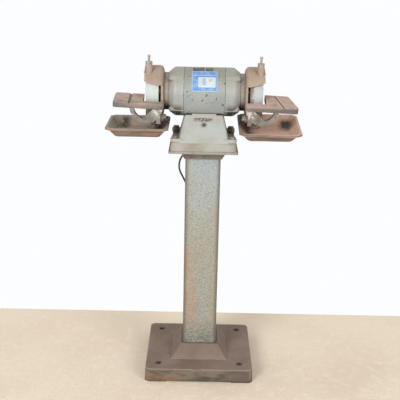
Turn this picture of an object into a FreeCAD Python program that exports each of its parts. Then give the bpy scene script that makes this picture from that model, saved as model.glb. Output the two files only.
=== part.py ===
"""Pedestal grinder: a double-ended grinding motor on a square cast column and floor plate.

Millimetres, +Z up, +X to the operator's right, -Y towards the operator. The origin is the centre of
the floor plate's underside. Each piece is an object of one parametric document and is written to
parts/NAME.step. Right-hand pieces are modelled outwards from the motor along +X.
"""
import FreeCAD
import Part
import Sketcher
import math
import os
import re

SIZES = {
    # Floor plate
    "base_width": 350,
    "base_depth": 330,
    "base_height": 45,
    "base_wall": 12,
    "base_corner": 18,
    "base_flare": 2,
    "base_foot_length": 70,
    "base_foot_lift": 3,
    "base_hole_x": 264,
    "base_hole_y": 244,
    "base_hole_radius": 7,
    "plinth_foot_x": 180,
    "plinth_foot_y": 190,
    "plinth_head": 122,
    "plinth_height": 40,
    "plinth_socket": 12,
    # Column and its collar
    "column_width": 110,
    "column_wall": 7,
    "column_corner": 9,
    "socket_gap": 0.2,
    "head_drop": 201,
    "collar_overlap": 6,
    "collar_height": 26,
    "collar_foot": 116,
    "collar_head": 142,
    "tie_rod_radius": 8,
    "tie_nut_height": 13,
    "tie_washer_height": 5,
    "tie_washer_radius": 22,
    # Top plate and motor stand
    "plate_width": 212,
    "plate_depth": 200,
    "plate_height": 32,
    "plate_draft": 8,
    "plate_bead": 6,
    "plate_wall": 9,
    "stand_foot_x": 156,
    "stand_foot_y": 186,
    "stand_head_x": 118,
    "stand_head_y": 92,
    "stand_height": 78,
    "stand_wall": 7,
    "stand_pad_width": 74,
    "stand_pad_height": 4,
    "ear_radius": 13,
    "ear_height": 12,
    "ear_x": 88,
    "ear_y": 76,
    "stand_bolt_radius": 5,
    "stand_bolt_head": 9.5,
    "stand_bolt_head_height": 7,
    # Motor
    "spindle_height": 917,
    "motor_radius": 74.5,
    "seam_bevel": 1,
    "motor_half_length": 63,
    "shell_wall": 6,
    "bell_end": 108,
    "bell_flat_end": 90,
    "bell_wall": 8,
    "bell_register": 5,
    "neck_radius": 57,
    "spigot_radius": 46,
    "boss_radius": 11.5,
    "tie_bolt_circle": 64.5,
    "tie_bolt_radius": 2.5,
    "tie_bolt_head": 5,
    "tie_bolt_head_height": 4,
    "core_half_length": 38,
    "core_bore": 40,
    "rotor_gap": 0.5,
    "winding_length": 15,
    "winding_thickness": 13,
    "bearing_bore": 10,
    "bearing_radius": 23.5,
    "bearing_width": 14,
    "bearing_start": 90,
    "race_thickness": 4,
    # Spindle, wheels and flanges
    "rotor_shaft_radius": 14,
    "journal_radius": 9.5,
    "spindle_radius": 8,
    "shaft_hole_radius": 13,
    "flange_radius": 30,
    "flange_thickness": 6,
    "flange_hub_radius": 13,
    "flange_hub_length": 6,
    "wheel_radius": 70,
    "wheel_width": 38,
    "wheel_start": 138,
    "wheel_recess_radius": 37,
    "wheel_recess_depth": 17,
    "wheel_edge": 1.5,
    "wheel_worn_edge": 7,
    "nut_height": 10,
    "nut_radius": 13,
    "fit_gap": 0.05,
    # Wheel guards
    "guard_start": 124,
    "guard_wall": 7,
    "guard_radius": 78,
    "guard_band": 4.5,
    "guard_shoulder": 14,
    "guard_outer": 178.5,
    "cover_thickness": 3,
    "cover_cut_back": 6,
    "guard_lip_rise": 27,
    "guard_lip_slant": 15,
    "guard_mouth_corner": 9,
    "guard_edge_back": 12,
    "shield_boss_radius": 10,
    "shield_boss_x": 168,
    "shield_boss_y": 44,
    "shield_boss_top": 86,
    "shield_nut_height": 9,
    "shield_nut_radius": 10.5,
    "shield_stud_radius": 3.5,
    "shield_stud_height": 19,
    "screw_radius": 3,
    "screw_head_radius": 5,
    "screw_head_height": 3.5,
    "guard_screw_circle": 38,
    "cover_boss_radius": 5,
    "cover_boss_length": 16,
    "set_screw_x": 116,
    "set_screw_lean": 50,
    # Tool rests
    "rest_pivot_down": 70,
    "rest_pivot_left": 62,
    "rest_pivot_right": 60,
    "rest_slide": 12,
    "rest_tilt_left": 8,
    "rest_tilt_right": 14,
    "rest_lean_left": 2.5,
    "rest_lean_right": 2.5,
    "rest_lug_height": 22,
    "clamp_bolt_radius": 5,
    "clamp_head_radius": 9.5,
    "clamp_head_height": 6.5,
    "clamp_washer_radius": 10.5,
    "clamp_washer_height": 2,
    "yoke_foot_thickness": 12,
    "yoke_foot_radius": 13,
    "yoke_centre": 174,
    "yoke_rise": 38,
    "rest_seat": 34,
    "yoke_radius": 49,
    "yoke_band": 12,
    "yoke_web_x": 12,
    "yoke_web_drop": 14,
    "yoke_arm_rise": 20,
    "yoke_front": 27,
    "yoke_back": 11.2,
    "side_gap": 0.3,
    "rest_plate_inner": 122,
    "rest_plate_outer": 274,
    "rest_plate_reach": 11,
    "rest_plate_front": 28,
    "rest_strip_back": 8,
    "rest_plate_back": 65,
    "rest_plate_height": 18,
    "rest_plate_corner": 10,
    "rest_plate_round": 5,
    "rest_notch_outer": 185,
    "rest_groove_x": 224,
    "rest_groove_left": 8,
    "rest_groove_right": 3,
    "rest_groove_slant": 16,
    "rest_groove_depth": 4,
    "rest_screw_radius": 3,
    # Swarf trays
    "tray_inner": 106,
    "tray_outer": 295,
    "tray_front": 128,
    "tray_back": 64,
    "tray_drop_left": 91.5,
    "tray_drop_right": 86,
    "tray_depth": 30,
    "tray_slope": 24,
    "tray_wall": 4,
    "tray_chamfer": 14,
    "tray_bead": 6,
    "tray_tilt_left": 1.5,
    "tray_tilt_right": 8,
    "post_x": 156,
    "post_y": 14,
    "post_radius": 10,
    "post_flange_radius": 20,
    "post_flange_height": 6,
    "post_boss_radius": 15,
    "post_boss_drop": 83,
    "tray_bolt_circle": 15,
    "tray_bolt_radius": 2.5,
    "tray_bolt_head": 4.6,
    "tray_bolt_head_height": 4,
    # Switch
    "switch_drop": 92,
    "switch_hole_radius": 4.6,
    "switch_bush_radius": 6.5,
    "switch_bush_height": 3.5,
    "switch_lever_radius": 2.2,
    "switch_lever_length": 14,
    "switch_body_width": 18,
    "switch_body_depth": 20,
    "switch_throw": 12,
    # Supply lead
    "cord_radius": 3,
    "gland_drop": 117,
    "gland_x": -25,
    "gland_length": 26,
    "gland_radius": 7,
    "coil_radius": 34,
    "coil_pitch": 7.8,
    "coil_turns": 2,
    "coil_lift": 6.6,
    "coil_floor_gap": 4.6,
    "coil_y": 262,
    "coil_tail": 36,
    "plug_length": 34,
    "plug_width": 24,
    "plug_height": 22,
    "pin_length": 18,
    "pin_spacing": 12.7,
    "pin_width": 6.2,
    "pin_thickness": 1.5,
    "tie_band": 8,
    "tie_thickness": 1.2,
}

doc = FreeCAD.newDocument("PedestalGrinder")
sheet = doc.addObject("Spreadsheet::Sheet", "dims")
for row, (size_name, size_value) in enumerate(SIZES.items(), start=1):
    sheet.set("A%d" % row, size_name)
    sheet.set("B%d" % row, str(size_value))
    sheet.setAlias("B%d" % row, size_name)
doc.recompute()

ALONG_X = "vector(0; 1; 0); 90"
ALONG_Y = "vector(1; 0; 0); -90"
UPRIGHT = "vector(0; 0; 1); 0"


def formula(text):
    """Point each size's name in a formula at its cell."""
    words = re.sub(r"[A-Za-z_]\w*", lambda w: "dims." + w[0] if w[0] in SIZES else w[0], str(text))
    return words


def number(text):
    """The present value of a formula of sizes."""
    return float(sheet.evalExpression(formula(text)))


def bound(kind, name, **sizes):
    """A document object whose properties follow formulas of the sizes."""
    piece = doc.addObject(kind, name)
    for prop, text in sizes.items():
        piece.setExpression(prop, formula(text))
    return piece


def place(piece, x="0", y="0", z="0", turn=UPRIGHT, about=None):
    """Move a piece to a point, turned about that point or about a centre of its own."""
    centre = "; vector(%s)" % formula(about) if about else ""
    text = "placement(vector(%s; %s; %s); rotation(%s)%s)"
    piece.setExpression("Placement", text % (formula(x), formula(y), formula(z), formula(turn), centre))
    return piece


def box(name, length, width, height, x="0", y="0", z="0"):
    """A block whose lowest corner is at x, y, z."""
    piece = bound("Part::Box", name, Length=length, Width=width, Height=height)
    return place(piece, x, y, z)


def rod(name, radius, length, x="0", y="0", z="0", turn=UPRIGHT):
    """A round bar that starts at x, y, z."""
    return place(bound("Part::Cylinder", name, Radius=radius, Height=length), x, y, z, turn)


def hexagon(name, radius, height, x="0", y="0", z="0", turn=UPRIGHT):
    """A six-sided nut or bolt head that starts at x, y, z."""
    piece = bound("Part::Prism", name, Circumradius=radius, Height=height)
    piece.Polygon = 6
    return place(piece, x, y, z, turn)


def frustum(name, foot_x, foot_y, head_x, head_y, height, z):
    """A four-sided taper between two centred rectangles."""
    piece = bound(
        "Part::Wedge", name,
        Xmin="-(%s) / 2" % foot_x, Xmax="(%s) / 2" % foot_x,
        Zmin="-(%s) / 2" % foot_y, Zmax="(%s) / 2" % foot_y,
        X2min="-(%s) / 2" % head_x, X2max="(%s) / 2" % head_x,
        Z2min="-(%s) / 2" % head_y, Z2max="(%s) / 2" % head_y,
        Ymin="0", Ymax=height,
    )
    return place(piece, z=z, turn="vector(1; 0; 0); 90")


def cut(name, base, *tools):
    """The base less every tool."""
    tool = tools[0] if len(tools) == 1 else fuse(name + "_tools", *tools)
    piece = doc.addObject("Part::Cut", name)
    piece.Base = base
    piece.Tool = tool
    return piece


def fuse(name, *shapes):
    """One solid from several that overlap."""
    piece = doc.addObject("Part::MultiFuse", name)
    piece.Shapes = list(shapes)
    piece.Refine = True
    return piece


def group(name, *shapes):
    """Like pieces kept as separate solids of one node."""
    piece = doc.addObject("Part::Compound", name)
    piece.Links = list(shapes)
    return piece


def mirrored(name, source, normal=(1, 0, 0)):
    """The same piece on the other side of the middle plane."""
    piece = doc.addObject("Part::Mirroring", name)
    piece.Source = source
    piece.Normal = normal
    return piece


def rounded(name, base, radius, wanted):
    """The base with the edges that a test picks rounded off."""
    doc.recompute()
    picked = [i for i, edge in enumerate(base.Shape.Edges, start=1) if wanted(edge)]
    piece = doc.addObject("Part::Fillet", name)
    piece.Base = base
    piece.Edges = [(i, number(radius), number(radius)) for i in picked]
    return piece


def upright(edge):
    """True for a straight edge that runs mostly up and down."""
    if len(edge.Vertexes) < 2:
        return False
    run = edge.Vertexes[1].Point - edge.Vertexes[0].Point
    return abs(run.Length - edge.Length) < 0.001 and abs(run.z) > 0.5 * run.Length


def plane_of(body, role):
    return next(f for f in body.Origin.OriginFeatures if f.Role == role)


def outline(body, name, role, points, lift="0"):
    """A closed sketch of straight sides whose corners follow formulas."""
    sketch = body.newObject("Sketcher::SketchObject", name)
    sketch.AttachmentSupport = [(plane_of(body, role), "")]
    sketch.MapMode = "FlatFace"
    sketch.setExpression("AttachmentOffset.Base.z", formula(lift))
    corners = [FreeCAD.Vector(number(x), number(y), 0) for x, y in points]
    count = len(corners)
    for i in range(count):
        sketch.addGeometry(Part.LineSegment(corners[i], corners[(i + 1) % count]), False)
    for i in range(count):
        sketch.addConstraint(Sketcher.Constraint("Coincident", i, 2, (i + 1) % count, 1))
    for i, corner in enumerate(points):
        for kind, text in zip(("DistanceX", "DistanceY"), corner):
            index = sketch.addConstraint(Sketcher.Constraint(kind, -1, 1, i, 1, number(text)))
            sketch.setExpression("Constraints[%d]" % index, formula(text))
    return sketch


def turned(name, points):
    """A body turned on the X axis from a profile of (along, radius) corners, centred on the spindle."""
    body = doc.addObject("PartDesign::Body", name)
    profile = outline(body, name + "_profile", "XZ_Plane", points)
    turning = body.newObject("PartDesign::Revolution", name + "_turning")
    turning.Profile = profile
    turning.ReferenceAxis = (plane_of(body, "X_Axis"), [""])
    turning.Angle = 360
    place(body, z="spindle_height")
    return body


def lofted(name, role, sections):
    """A body lofted through outlines at given lifts."""
    body = doc.addObject("PartDesign::Body", name)
    sketches = [outline(body, "%s_section%d" % (name, i), role, pts, lift)
                for i, (pts, lift) in enumerate(sections)]
    loft = body.newObject("PartDesign::AdditiveLoft", name + "_loft")
    loft.Profile = sketches[0]
    loft.Sections = sketches[1:]
    loft.Ruled = True
    return body


nodes = {}


def keep(name, piece):
    """Note a finished piece under its own name."""
    piece.Label = name
    nodes[name] = piece
    return piece


def keep_on(side, name, piece):
    """Note a piece drawn on the right, mirrored when it belongs on the left."""
    keep(name, mirrored(name + "_mirror", piece) if side == "left" else piece)


# Floor plate: a cast skirt on four corner feet, hollow below, with a tapered plinth for the column
def floor_base():
    skirt = frustum("base_skirt", "base_width", "base_depth", "base_width - 2 * base_flare",
                    "base_depth - 2 * base_flare", "base_height", "0")
    skirt = rounded("base_round", skirt, "base_corner", upright)
    roof = "base_height - base_wall"
    hollow = box("base_hollow", "base_width - 2 * base_wall", "base_depth - 2 * base_wall", roof,
                 "base_wall - base_width / 2", "base_wall - base_depth / 2")
    plinth = frustum("plinth", "plinth_foot_x", "plinth_foot_y", "plinth_head", "plinth_head",
                     "plinth_height", "base_height")
    cavity = frustum("plinth_cavity", "plinth_foot_x - 2 * base_wall", "plinth_foot_y - 2 * base_wall",
                     "plinth_head - 2 * base_wall", "plinth_head - 2 * base_wall",
                     "plinth_height - plinth_socket", roof)
    socket = box("plinth_socket_cut", "column_width + 2 * socket_gap", "column_width + 2 * socket_gap",
                 "plinth_socket", "-column_width / 2 - socket_gap", "-column_width / 2 - socket_gap",
                 "base_height + plinth_height - plinth_socket")
    relief_x = box("base_relief_x", "base_width - 2 * base_foot_length", "base_depth", "base_foot_lift",
                   "base_foot_length - base_width / 2", "-base_depth / 2")
    relief_y = box("base_relief_y", "base_width", "base_depth - 2 * base_foot_length", "base_foot_lift",
                   "-base_width / 2", "base_foot_length - base_depth / 2")
    bosses = []
    holes = []
    for i, (sx, sy) in enumerate(((1, 1), (1, -1), (-1, 1), (-1, -1))):
        x = "%d * base_hole_x / 2" % sx
        y = "%d * base_hole_y / 2" % sy
        bosses.append(rod("base_boss%d" % i, "base_hole_radius + base_wall", "base_height - 1", x, y))
        holes.append(rod("base_hole%d" % i, "base_hole_radius", "base_height", x, y))
    rod_hole = rod("base_rod_hole", "tie_rod_radius + socket_gap", "base_height + plinth_height")
    shell = cut("base_shell", skirt, hollow)
    solid = fuse("base_solid", shell, plinth, *bosses)
    base = cut("base_cut", solid, cavity, socket, relief_x, relief_y, rod_hole, *holes)
    keep("floor_base", base)


COLLAR_BOTTOM = "(spindle_height - head_drop)"
COLUMN_TOP = "(%s + collar_overlap)" % COLLAR_BOTTOM
PLATE_BOTTOM = "(%s + collar_height)" % COLLAR_BOTTOM
STAND_FOOT = "(%s + plate_height)" % PLATE_BOTTOM


# Column: a square cast tube with rounded corners, held between plinth and collar by a long tie rod
def column():
    foot = "(base_height + plinth_height - plinth_socket)"
    height = "%s - %s" % (COLUMN_TOP, foot)
    tube = box("column_bar", "column_width", "column_width", height,
               "-column_width / 2", "-column_width / 2", foot)
    tube = rounded("column_round", tube, "column_corner", upright)
    bore = box("column_bore", "column_width - 2 * column_wall", "column_width - 2 * column_wall",
               height, "column_wall - column_width / 2",
               "column_wall - column_width / 2", foot)
    keep("column", cut("column_tube", tube, bore))


def column_tie_rod():
    roof = "base_height + plinth_height - plinth_socket - base_wall"
    top = STAND_FOOT
    spare = "tie_washer_height + 1.3 * tie_nut_height"
    pieces = [
        rod("tie_rod", "tie_rod_radius", "%s - (%s) + 2 * (%s)" % (top, roof, spare),
            z="%s - (%s)" % (roof, spare)),
        rod("tie_washer_low", "tie_washer_radius", "tie_washer_height", z=roof + " - tie_washer_height"),
        rod("tie_washer_high", "tie_washer_radius", "tie_washer_height", z=top),
        hexagon("tie_nut_low", "1.7 * tie_rod_radius", "tie_nut_height",
                z=roof + " - tie_washer_height - tie_nut_height"),
        hexagon("tie_nut_high", "1.7 * tie_rod_radius", "tie_nut_height", z=top + " + tie_washer_height"),
    ]
    keep("column_tie_rod", fuse("tie_rod_solid", *pieces))


# Collar: a flared casting that spreads the column's head under the top plate
def column_collar():
    flare = frustum("collar_flare", "collar_foot", "collar_foot", "collar_head", "collar_head",
                    "collar_height", COLLAR_BOTTOM)
    riser = box("collar_riser", "collar_head", "collar_head", "plate_height - plate_wall",
                "-collar_head / 2", "-collar_head / 2", PLATE_BOTTOM)
    socket = box("collar_socket", "column_width + 2 * socket_gap", "column_width + 2 * socket_gap",
                 "collar_overlap", "-column_width / 2 - socket_gap",
                 "-column_width / 2 - socket_gap", COLLAR_BOTTOM)
    bore = box("collar_bore", "column_width - 2 * column_wall", "column_width - 2 * column_wall",
               "collar_height + plate_height", "column_wall - column_width / 2",
               "column_wall - column_width / 2", COLLAR_BOTTOM)
    keep("column_collar", cut("collar_cut", fuse("collar_solid", flare, riser), socket, bore))


# Top plate: a cast lid with a drafted apron and a bead along its lower edge
def top_plate():
    bottom = PLATE_BOTTOM
    apron = frustum("apron", "plate_width - plate_bead", "plate_depth - plate_bead",
                    "plate_width - 2 * plate_draft", "plate_depth - 2 * plate_draft", "plate_height", bottom)
    apron = rounded("apron_round", apron, "plate_bead", upright)
    bead = box("apron_bead", "plate_width", "plate_depth", "plate_bead", "-plate_width / 2",
               "-plate_depth / 2", bottom)
    bead = rounded("apron_bead_round", bead, "plate_bead", upright)
    room_x = "plate_width - 2 * plate_draft - 2 * plate_wall"
    room_y = "plate_depth - 2 * plate_draft - 2 * plate_wall"
    room = box("apron_room", room_x, room_y, "plate_height - plate_wall", "-(%s) / 2" % room_x,
               "-(%s) / 2" % room_y, bottom)
    hole = rod("plate_rod_hole", "tie_rod_radius + socket_gap", "plate_height", z=bottom)
    threads = [rod("plate_thread%d" % i, "stand_bolt_radius + fit_gap", "plate_height",
                   "%d * ear_x" % sx, "%d * ear_y" % sy, bottom)
               for i, (sx, sy) in enumerate(((1, 1), (1, -1), (-1, 1), (-1, -1)))]
    keep("top_plate", cut("plate_cut", fuse("plate_solid", apron, bead), room, hole, *threads))


SWITCH_HEIGHT = "(spindle_height - switch_drop)"
GLAND_HEIGHT = "(spindle_height - gland_drop)"
STAND_SLOPE = "((stand_foot_y - stand_head_y) / 2 / stand_height)"


def on_stand_front(piece):
    """Set a piece on the stand's sloping front at the switch, its own Z pointing out of the face."""
    y = "(%s - %s) * %s - stand_foot_y / 2" % (SWITCH_HEIGHT, STAND_FOOT, STAND_SLOPE)
    return place(piece, "0", y, SWITCH_HEIGHT, "vector(1; 0; 0); 90 deg - atan(%s)" % STAND_SLOPE)


# Motor stand: a hollow tapered casting with bolt ears and a saddle that the motor lies in
def motor_stand():
    taper = frustum("stand_taper", "stand_foot_x", "stand_foot_y", "stand_head_x", "stand_head_y",
                    "stand_height", STAND_FOOT)
    taper = rounded("stand_round", taper, "stand_wall", upright)
    clear = rod("stand_clear", "motor_radius + stand_pad_height", "2 * stand_foot_x", "-stand_foot_x", "0",
                "spindle_height", ALONG_X)
    pad = box("stand_pad", "stand_pad_width", "stand_head_y", "stand_wall + 3 * stand_pad_height",
              "-stand_pad_width / 2", "-stand_head_y / 2",
              STAND_FOOT + " + stand_height + stand_pad_height - (stand_wall + 3 * stand_pad_height)")
    saddle = rod("stand_saddle", "motor_radius + fit_gap", "stand_pad_width", "-stand_pad_width / 2", "0",
                 "spindle_height", ALONG_X)
    rise = "(spindle_height - motor_radius - stand_pad_height - stand_wall - %s)" % STAND_FOOT
    share = "(%s / stand_height)" % rise
    room = frustum("stand_room", "stand_foot_x - 2 * stand_wall", "stand_foot_y - 2 * stand_wall",
                   "stand_foot_x - (stand_foot_x - stand_head_x) * %s - 2 * stand_wall" % share,
                   "stand_foot_y - (stand_foot_y - stand_head_y) * %s - 2 * stand_wall" % share,
                   rise, STAND_FOOT)
    ears = []
    holes = []
    for i, (sx, sy) in enumerate(((1, 1), (1, -1), (-1, 1), (-1, -1))):
        x = "%d * ear_x" % sx
        y = "%d * ear_y" % sy
        ears.append(rod("ear%d" % i, "ear_radius", "ear_height", x, y, STAND_FOOT))
        reach = "(ear_x - stand_foot_x / 2 + 2 * stand_wall)"
        ears.append(box("ear_web%d" % i, reach, "2 * ear_radius", "ear_height",
                        "%s - %s" % (x, reach) if sx > 0 else x, y + " - ear_radius", STAND_FOOT))
        holes.append(rod("ear_hole%d" % i, "stand_bolt_radius + fit_gap", "ear_height", x, y, STAND_FOOT))
    switch_hole = rod("switch_hole", "switch_hole_radius", "6 * stand_wall", "0", "0", "-3 * stand_wall")
    switch_hole = on_stand_front(group("switch_hole_set", switch_hole))
    gland_hole = rod("gland_hole", "cord_radius + fit_gap", "stand_foot_y / 2", "gland_x", "0",
                     GLAND_HEIGHT, ALONG_Y)
    body = cut("stand_body", taper, clear)
    solid = cut("stand_saddled", fuse("stand_solid", body, pad, *ears), room, saddle)
    keep("motor_stand", cut("stand_cut", solid, switch_hole, gland_hole, *holes))
    bolts = []
    for i, (sx, sy) in enumerate(((1, 1), (1, -1), (-1, 1), (-1, -1))):
        x = "%d * ear_x" % sx
        y = "%d * ear_y" % sy
        head = hexagon("stand_bolt_head%d" % i, "stand_bolt_head", "stand_bolt_head_height", x, y,
                       STAND_FOOT + " + ear_height")
        shank = rod("stand_bolt_shank%d" % i, "stand_bolt_radius", "ear_height + plate_wall", x, y,
                    STAND_FOOT + " - plate_wall")
        bolts.append(fuse("stand_bolt%d" % i, head, shank))
    keep("stand_bolts", group("stand_bolt_set", *bolts))


# Motor: shell, stator and two domed end bells drawn together by four long bolts
SHELL_BORE = "(motor_radius - shell_wall)"
DIAGONAL = math.cos(math.radians(45))
TIE_BOLT_PLACES = [
    ("%d * tie_bolt_circle * %f" % (sy, DIAGONAL),
     "spindle_height + %d * tie_bolt_circle * %f" % (sz, DIAGONAL))
    for sy in (-1, 1) for sz in (-1, 1)
]
BOSS_END = "(bell_end - tie_bolt_head_height)"


def motor_shell():
    keep("motor_shell", turned("shell", [
        ("-motor_half_length", SHELL_BORE), ("motor_half_length", SHELL_BORE),
        ("motor_half_length", "motor_radius - seam_bevel"),
        ("motor_half_length - seam_bevel", "motor_radius"),
        ("seam_bevel - motor_half_length", "motor_radius"),
        ("-motor_half_length", "motor_radius - seam_bevel")]))


def stator():
    outer = SHELL_BORE + " - fit_gap"
    core = turned("core", [("-core_half_length", "core_bore"), ("core_half_length", "core_bore"),
                           ("core_half_length", outer), ("-core_half_length", outer)])
    slots = [rod("core_slot%d" % i, "2 * tie_bolt_radius", "2 * core_half_length", "-core_half_length", y, z,
                 ALONG_X) for i, (y, z) in enumerate(TIE_BOLT_PLACES)]
    keep("stator_core", cut("core_cut", core, *slots))
    inner = "core_bore + 3 * rotor_gap"
    end = "core_half_length + winding_length"
    round_off = "winding_thickness / 4"
    ring = turned("winding", [
        ("core_half_length", inner), ("%s - %s" % (end, round_off), inner),
        (end, "%s + %s" % (inner, round_off)), (end, "%s + winding_thickness - %s" % (inner, round_off)),
        ("%s - %s" % (end, round_off), inner + " + winding_thickness"),
        ("core_half_length", inner + " + winding_thickness")])
    keep("end_windings", group("winding_pair", ring, mirrored("winding_left", ring)))


def end_bells():
    register = SHELL_BORE + " - fit_gap"
    cavity = "(motor_radius - bell_wall - 1)"
    seat_end = "bearing_start + bearing_width"
    bell = turned("bell", [
        ("motor_half_length - bell_register", cavity), ("motor_half_length - bell_register", register),
        ("motor_half_length", register), ("motor_half_length", "motor_radius"),
        ("bell_flat_end", "motor_radius"), ("bell_end", "neck_radius + 3"), ("bell_end", "spigot_radius"),
        ("guard_start", "spigot_radius"), ("guard_start", "shaft_hole_radius"),
        (seat_end, "shaft_hole_radius"), (seat_end, "bearing_radius"), ("bearing_start", "bearing_radius"),
        ("bearing_start", "bearing_radius + bell_wall"),
        ("bell_end - bell_wall", "bearing_radius + bell_wall"),
        ("bell_end - bell_wall", "neck_radius - bell_wall / 2"), ("bell_flat_end - bell_wall / 2", cavity)])

    def shoulder(edge):
        ring = isinstance(edge.Curve, Part.Circle) and abs(edge.Curve.Radius - number("motor_radius")) < 0.01
        return ring and abs(edge.Curve.Center.x - number("bell_flat_end")) < 0.01

    domed = rounded("bell_domed", bell, "2 * bell_wall", shoulder)
    bosses = []
    holes = []
    for i, (y, z) in enumerate(TIE_BOLT_PLACES):
        bosses.append(rod("bell_boss%d" % i, "boss_radius", BOSS_END + " - motor_half_length",
                          "motor_half_length", y, z, ALONG_X))
        holes.append(rod("bell_bolt_hole%d" % i, "tie_bolt_radius + fit_gap", "bell_end", "0", y, z, ALONG_X))
        holes.append(rod("bell_spot_face%d" % i, "tie_bolt_head + 1", "2 * tie_bolt_head_height", BOSS_END,
                         y, z, ALONG_X))
    room = rod("bell_room", cavity, "bell_flat_end - bell_wall / 2 - motor_half_length", "motor_half_length",
               "0", "spindle_height", ALONG_X)
    solid = fuse("bell_solid", domed, cut("bell_bosses", fuse("bell_boss_set", *bosses), room))
    screws = [rod("bell_thread%d" % i, "screw_radius + fit_gap", "2 * guard_wall",
                  "guard_start - 2 * guard_wall",
                  y, z, ALONG_X) for i, (y, z) in enumerate(screw_places("guard_screw_circle", 3, 90))]
    right = cut("right_bell", solid, *holes, *screws)
    keep("right_end_bell", right)
    keep("left_end_bell", mirrored("left_bell", right))


def screw_places(circle, count, start):
    """Evenly spaced places on a circle about the spindle, from an angle in degrees at the back."""
    angles = [start + 360 / count * i for i in range(count)]
    return [("%s * cos(%f)" % (circle, a), "spindle_height + %s * sin(%f)" % (circle, a)) for a in angles]


def tie_bolts():
    bolts = []
    for i, (y, z) in enumerate(TIE_BOLT_PLACES):
        shank = rod("tie_bolt_shank%d" % i, "tie_bolt_radius", "2 * %s" % BOSS_END, "-" + BOSS_END, y, z,
                    ALONG_X)
        head = hexagon("tie_bolt_head_right%d" % i, "tie_bolt_head", "tie_bolt_head_height", BOSS_END, y, z,
                       ALONG_X)
        nut = hexagon("tie_bolt_nut_left%d" % i, "tie_bolt_head", "tie_bolt_head_height",
                      "-%s - tie_bolt_head_height" % BOSS_END, y, z, ALONG_X)
        bolts.append(fuse("tie_bolt%d" % i, shank, head, nut))
    keep("tie_bolts", group("tie_bolt_set", *bolts))


# Bearings: shielded ball bearings, outer rings in the bells and inner rings on the shaft
def bearings():
    end = "bearing_start + bearing_width"
    inner_radius = "bearing_bore + race_thickness"
    inner = turned("inner_race", [("bearing_start", "bearing_bore"), (end, "bearing_bore"),
                                  (end, inner_radius), ("bearing_start", inner_radius)])
    bore = inner_radius + " + side_gap"
    outer = turned("outer_race", [("bearing_start", bore), (end, bore), (end, "bearing_radius"),
                                  ("bearing_start", "bearing_radius")])
    keep("bearing_inner_rings", group("inner_race_pair", inner, mirrored("inner_race_left", inner)))
    keep("bearing_outer_rings", group("outer_race_pair", outer, mirrored("outer_race_left", outer)))


# Spindle: one stepped shaft with the rotor in the middle and a wheel between flanges at each end
SHOULDER = "(wheel_start - flange_thickness - flange_hub_length)"
WHEEL_END = "(wheel_start + wheel_width)"


def spindle():
    half = [(WHEEL_END + " - fit_gap", "0"), (WHEEL_END + " - fit_gap", "spindle_radius"),
            (SHOULDER, "spindle_radius"), (SHOULDER, "journal_radius"),
            ("bearing_start + bearing_width", "journal_radius"),
            ("bearing_start + bearing_width", "bearing_bore"), ("bearing_start", "bearing_bore"),
            ("bearing_start", "rotor_shaft_radius")]
    other = [("-(%s)" % x, r) for x, r in reversed(half)]
    keep("spindle_shaft", turned("shaft", half + other))
    rim = "core_bore - rotor_gap"
    keep("rotor_core", turned("rotor", [
        ("-core_half_length", "rotor_shaft_radius"), ("core_half_length", "rotor_shaft_radius"),
        ("core_half_length", rim), ("-core_half_length", rim)]))


def wheel_profile(inner_edge):
    web = WHEEL_END + " - wheel_recess_depth"
    bore = "spindle_radius + fit_gap"
    return [("wheel_start", bore), (web, bore), (web, "wheel_recess_radius"),
            (WHEEL_END, "wheel_recess_radius"),
            (WHEEL_END, "wheel_radius - wheel_edge"), (WHEEL_END + " - wheel_edge", "wheel_radius"),
            ("wheel_start + " + inner_edge, "wheel_radius"), ("wheel_start", "wheel_radius - " + inner_edge)]


def wheels():
    keep("right_wheel", turned("wheel_right", wheel_profile("wheel_worn_edge")))
    keep("left_wheel", mirrored("wheel_left", turned("wheel_left_source", wheel_profile("wheel_edge"))))
    bore = "spindle_radius + fit_gap"
    hub_end = "wheel_start - flange_thickness"
    inner = turned("flange_inner", [
        (SHOULDER, bore), ("wheel_start", bore), ("wheel_start", "flange_radius"),
        (hub_end + " + flange_thickness / 2", "flange_radius"), (hub_end, "flange_hub_radius"),
        (SHOULDER, "flange_hub_radius")])
    web = "(%s - wheel_recess_depth)" % WHEEL_END
    outer = turned("flange_outer", [
        (web, bore), (web + " + flange_thickness", bore),
        (web + " + flange_thickness", "flange_hub_radius + 3"),
        (web + " + flange_thickness / 2", "flange_radius"), (web, "flange_radius")])
    nut = hexagon("wheel_nut", "nut_radius", "nut_height", web + " + flange_thickness", "0", "spindle_height",
                  ALONG_X)
    nut_bore = rod("wheel_nut_bore", bore, "nut_height", web + " + flange_thickness", "0", "spindle_height",
                   ALONG_X)
    nut = cut("wheel_nut_cut", nut, nut_bore)
    for name, piece in (("inner_flange", inner), ("outer_flange", outer), ("spindle_nut", nut)):
        keep("right_" + name, piece)
        keep("left_" + name, mirrored("left_%s_mirror" % name, piece))


# Wheel guards: cast drums open at the front, with a side cover, a shield boss and a lug for the rest
GUARD_BORE = "(guard_radius - guard_band)"
GUARD_WALL_END = "(guard_start + guard_wall)"
REST_PIVOT_HEIGHT = "(spindle_height - rest_pivot_down)"
LIP_HEIGHT = "(spindle_height + guard_lip_rise)"
LIP_SPAN = "(guard_outer - guard_start - guard_wall - guard_mouth_corner)"
POST_BOSS_BOTTOM = "(spindle_height - post_boss_drop)"


def cover_screw_points():
    """Two places behind the band and one in the shield boss."""
    circle = "(guard_radius + screw_radius - 1)"
    points = [("%s * cos(%d)" % (circle, a), "spindle_height + %s * sin(%d)" % (circle, a))
              for a in (28, -40)]
    return points + [("-shield_boss_y", "spindle_height + shield_boss_top - 2.4 * shield_boss_radius")]


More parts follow.
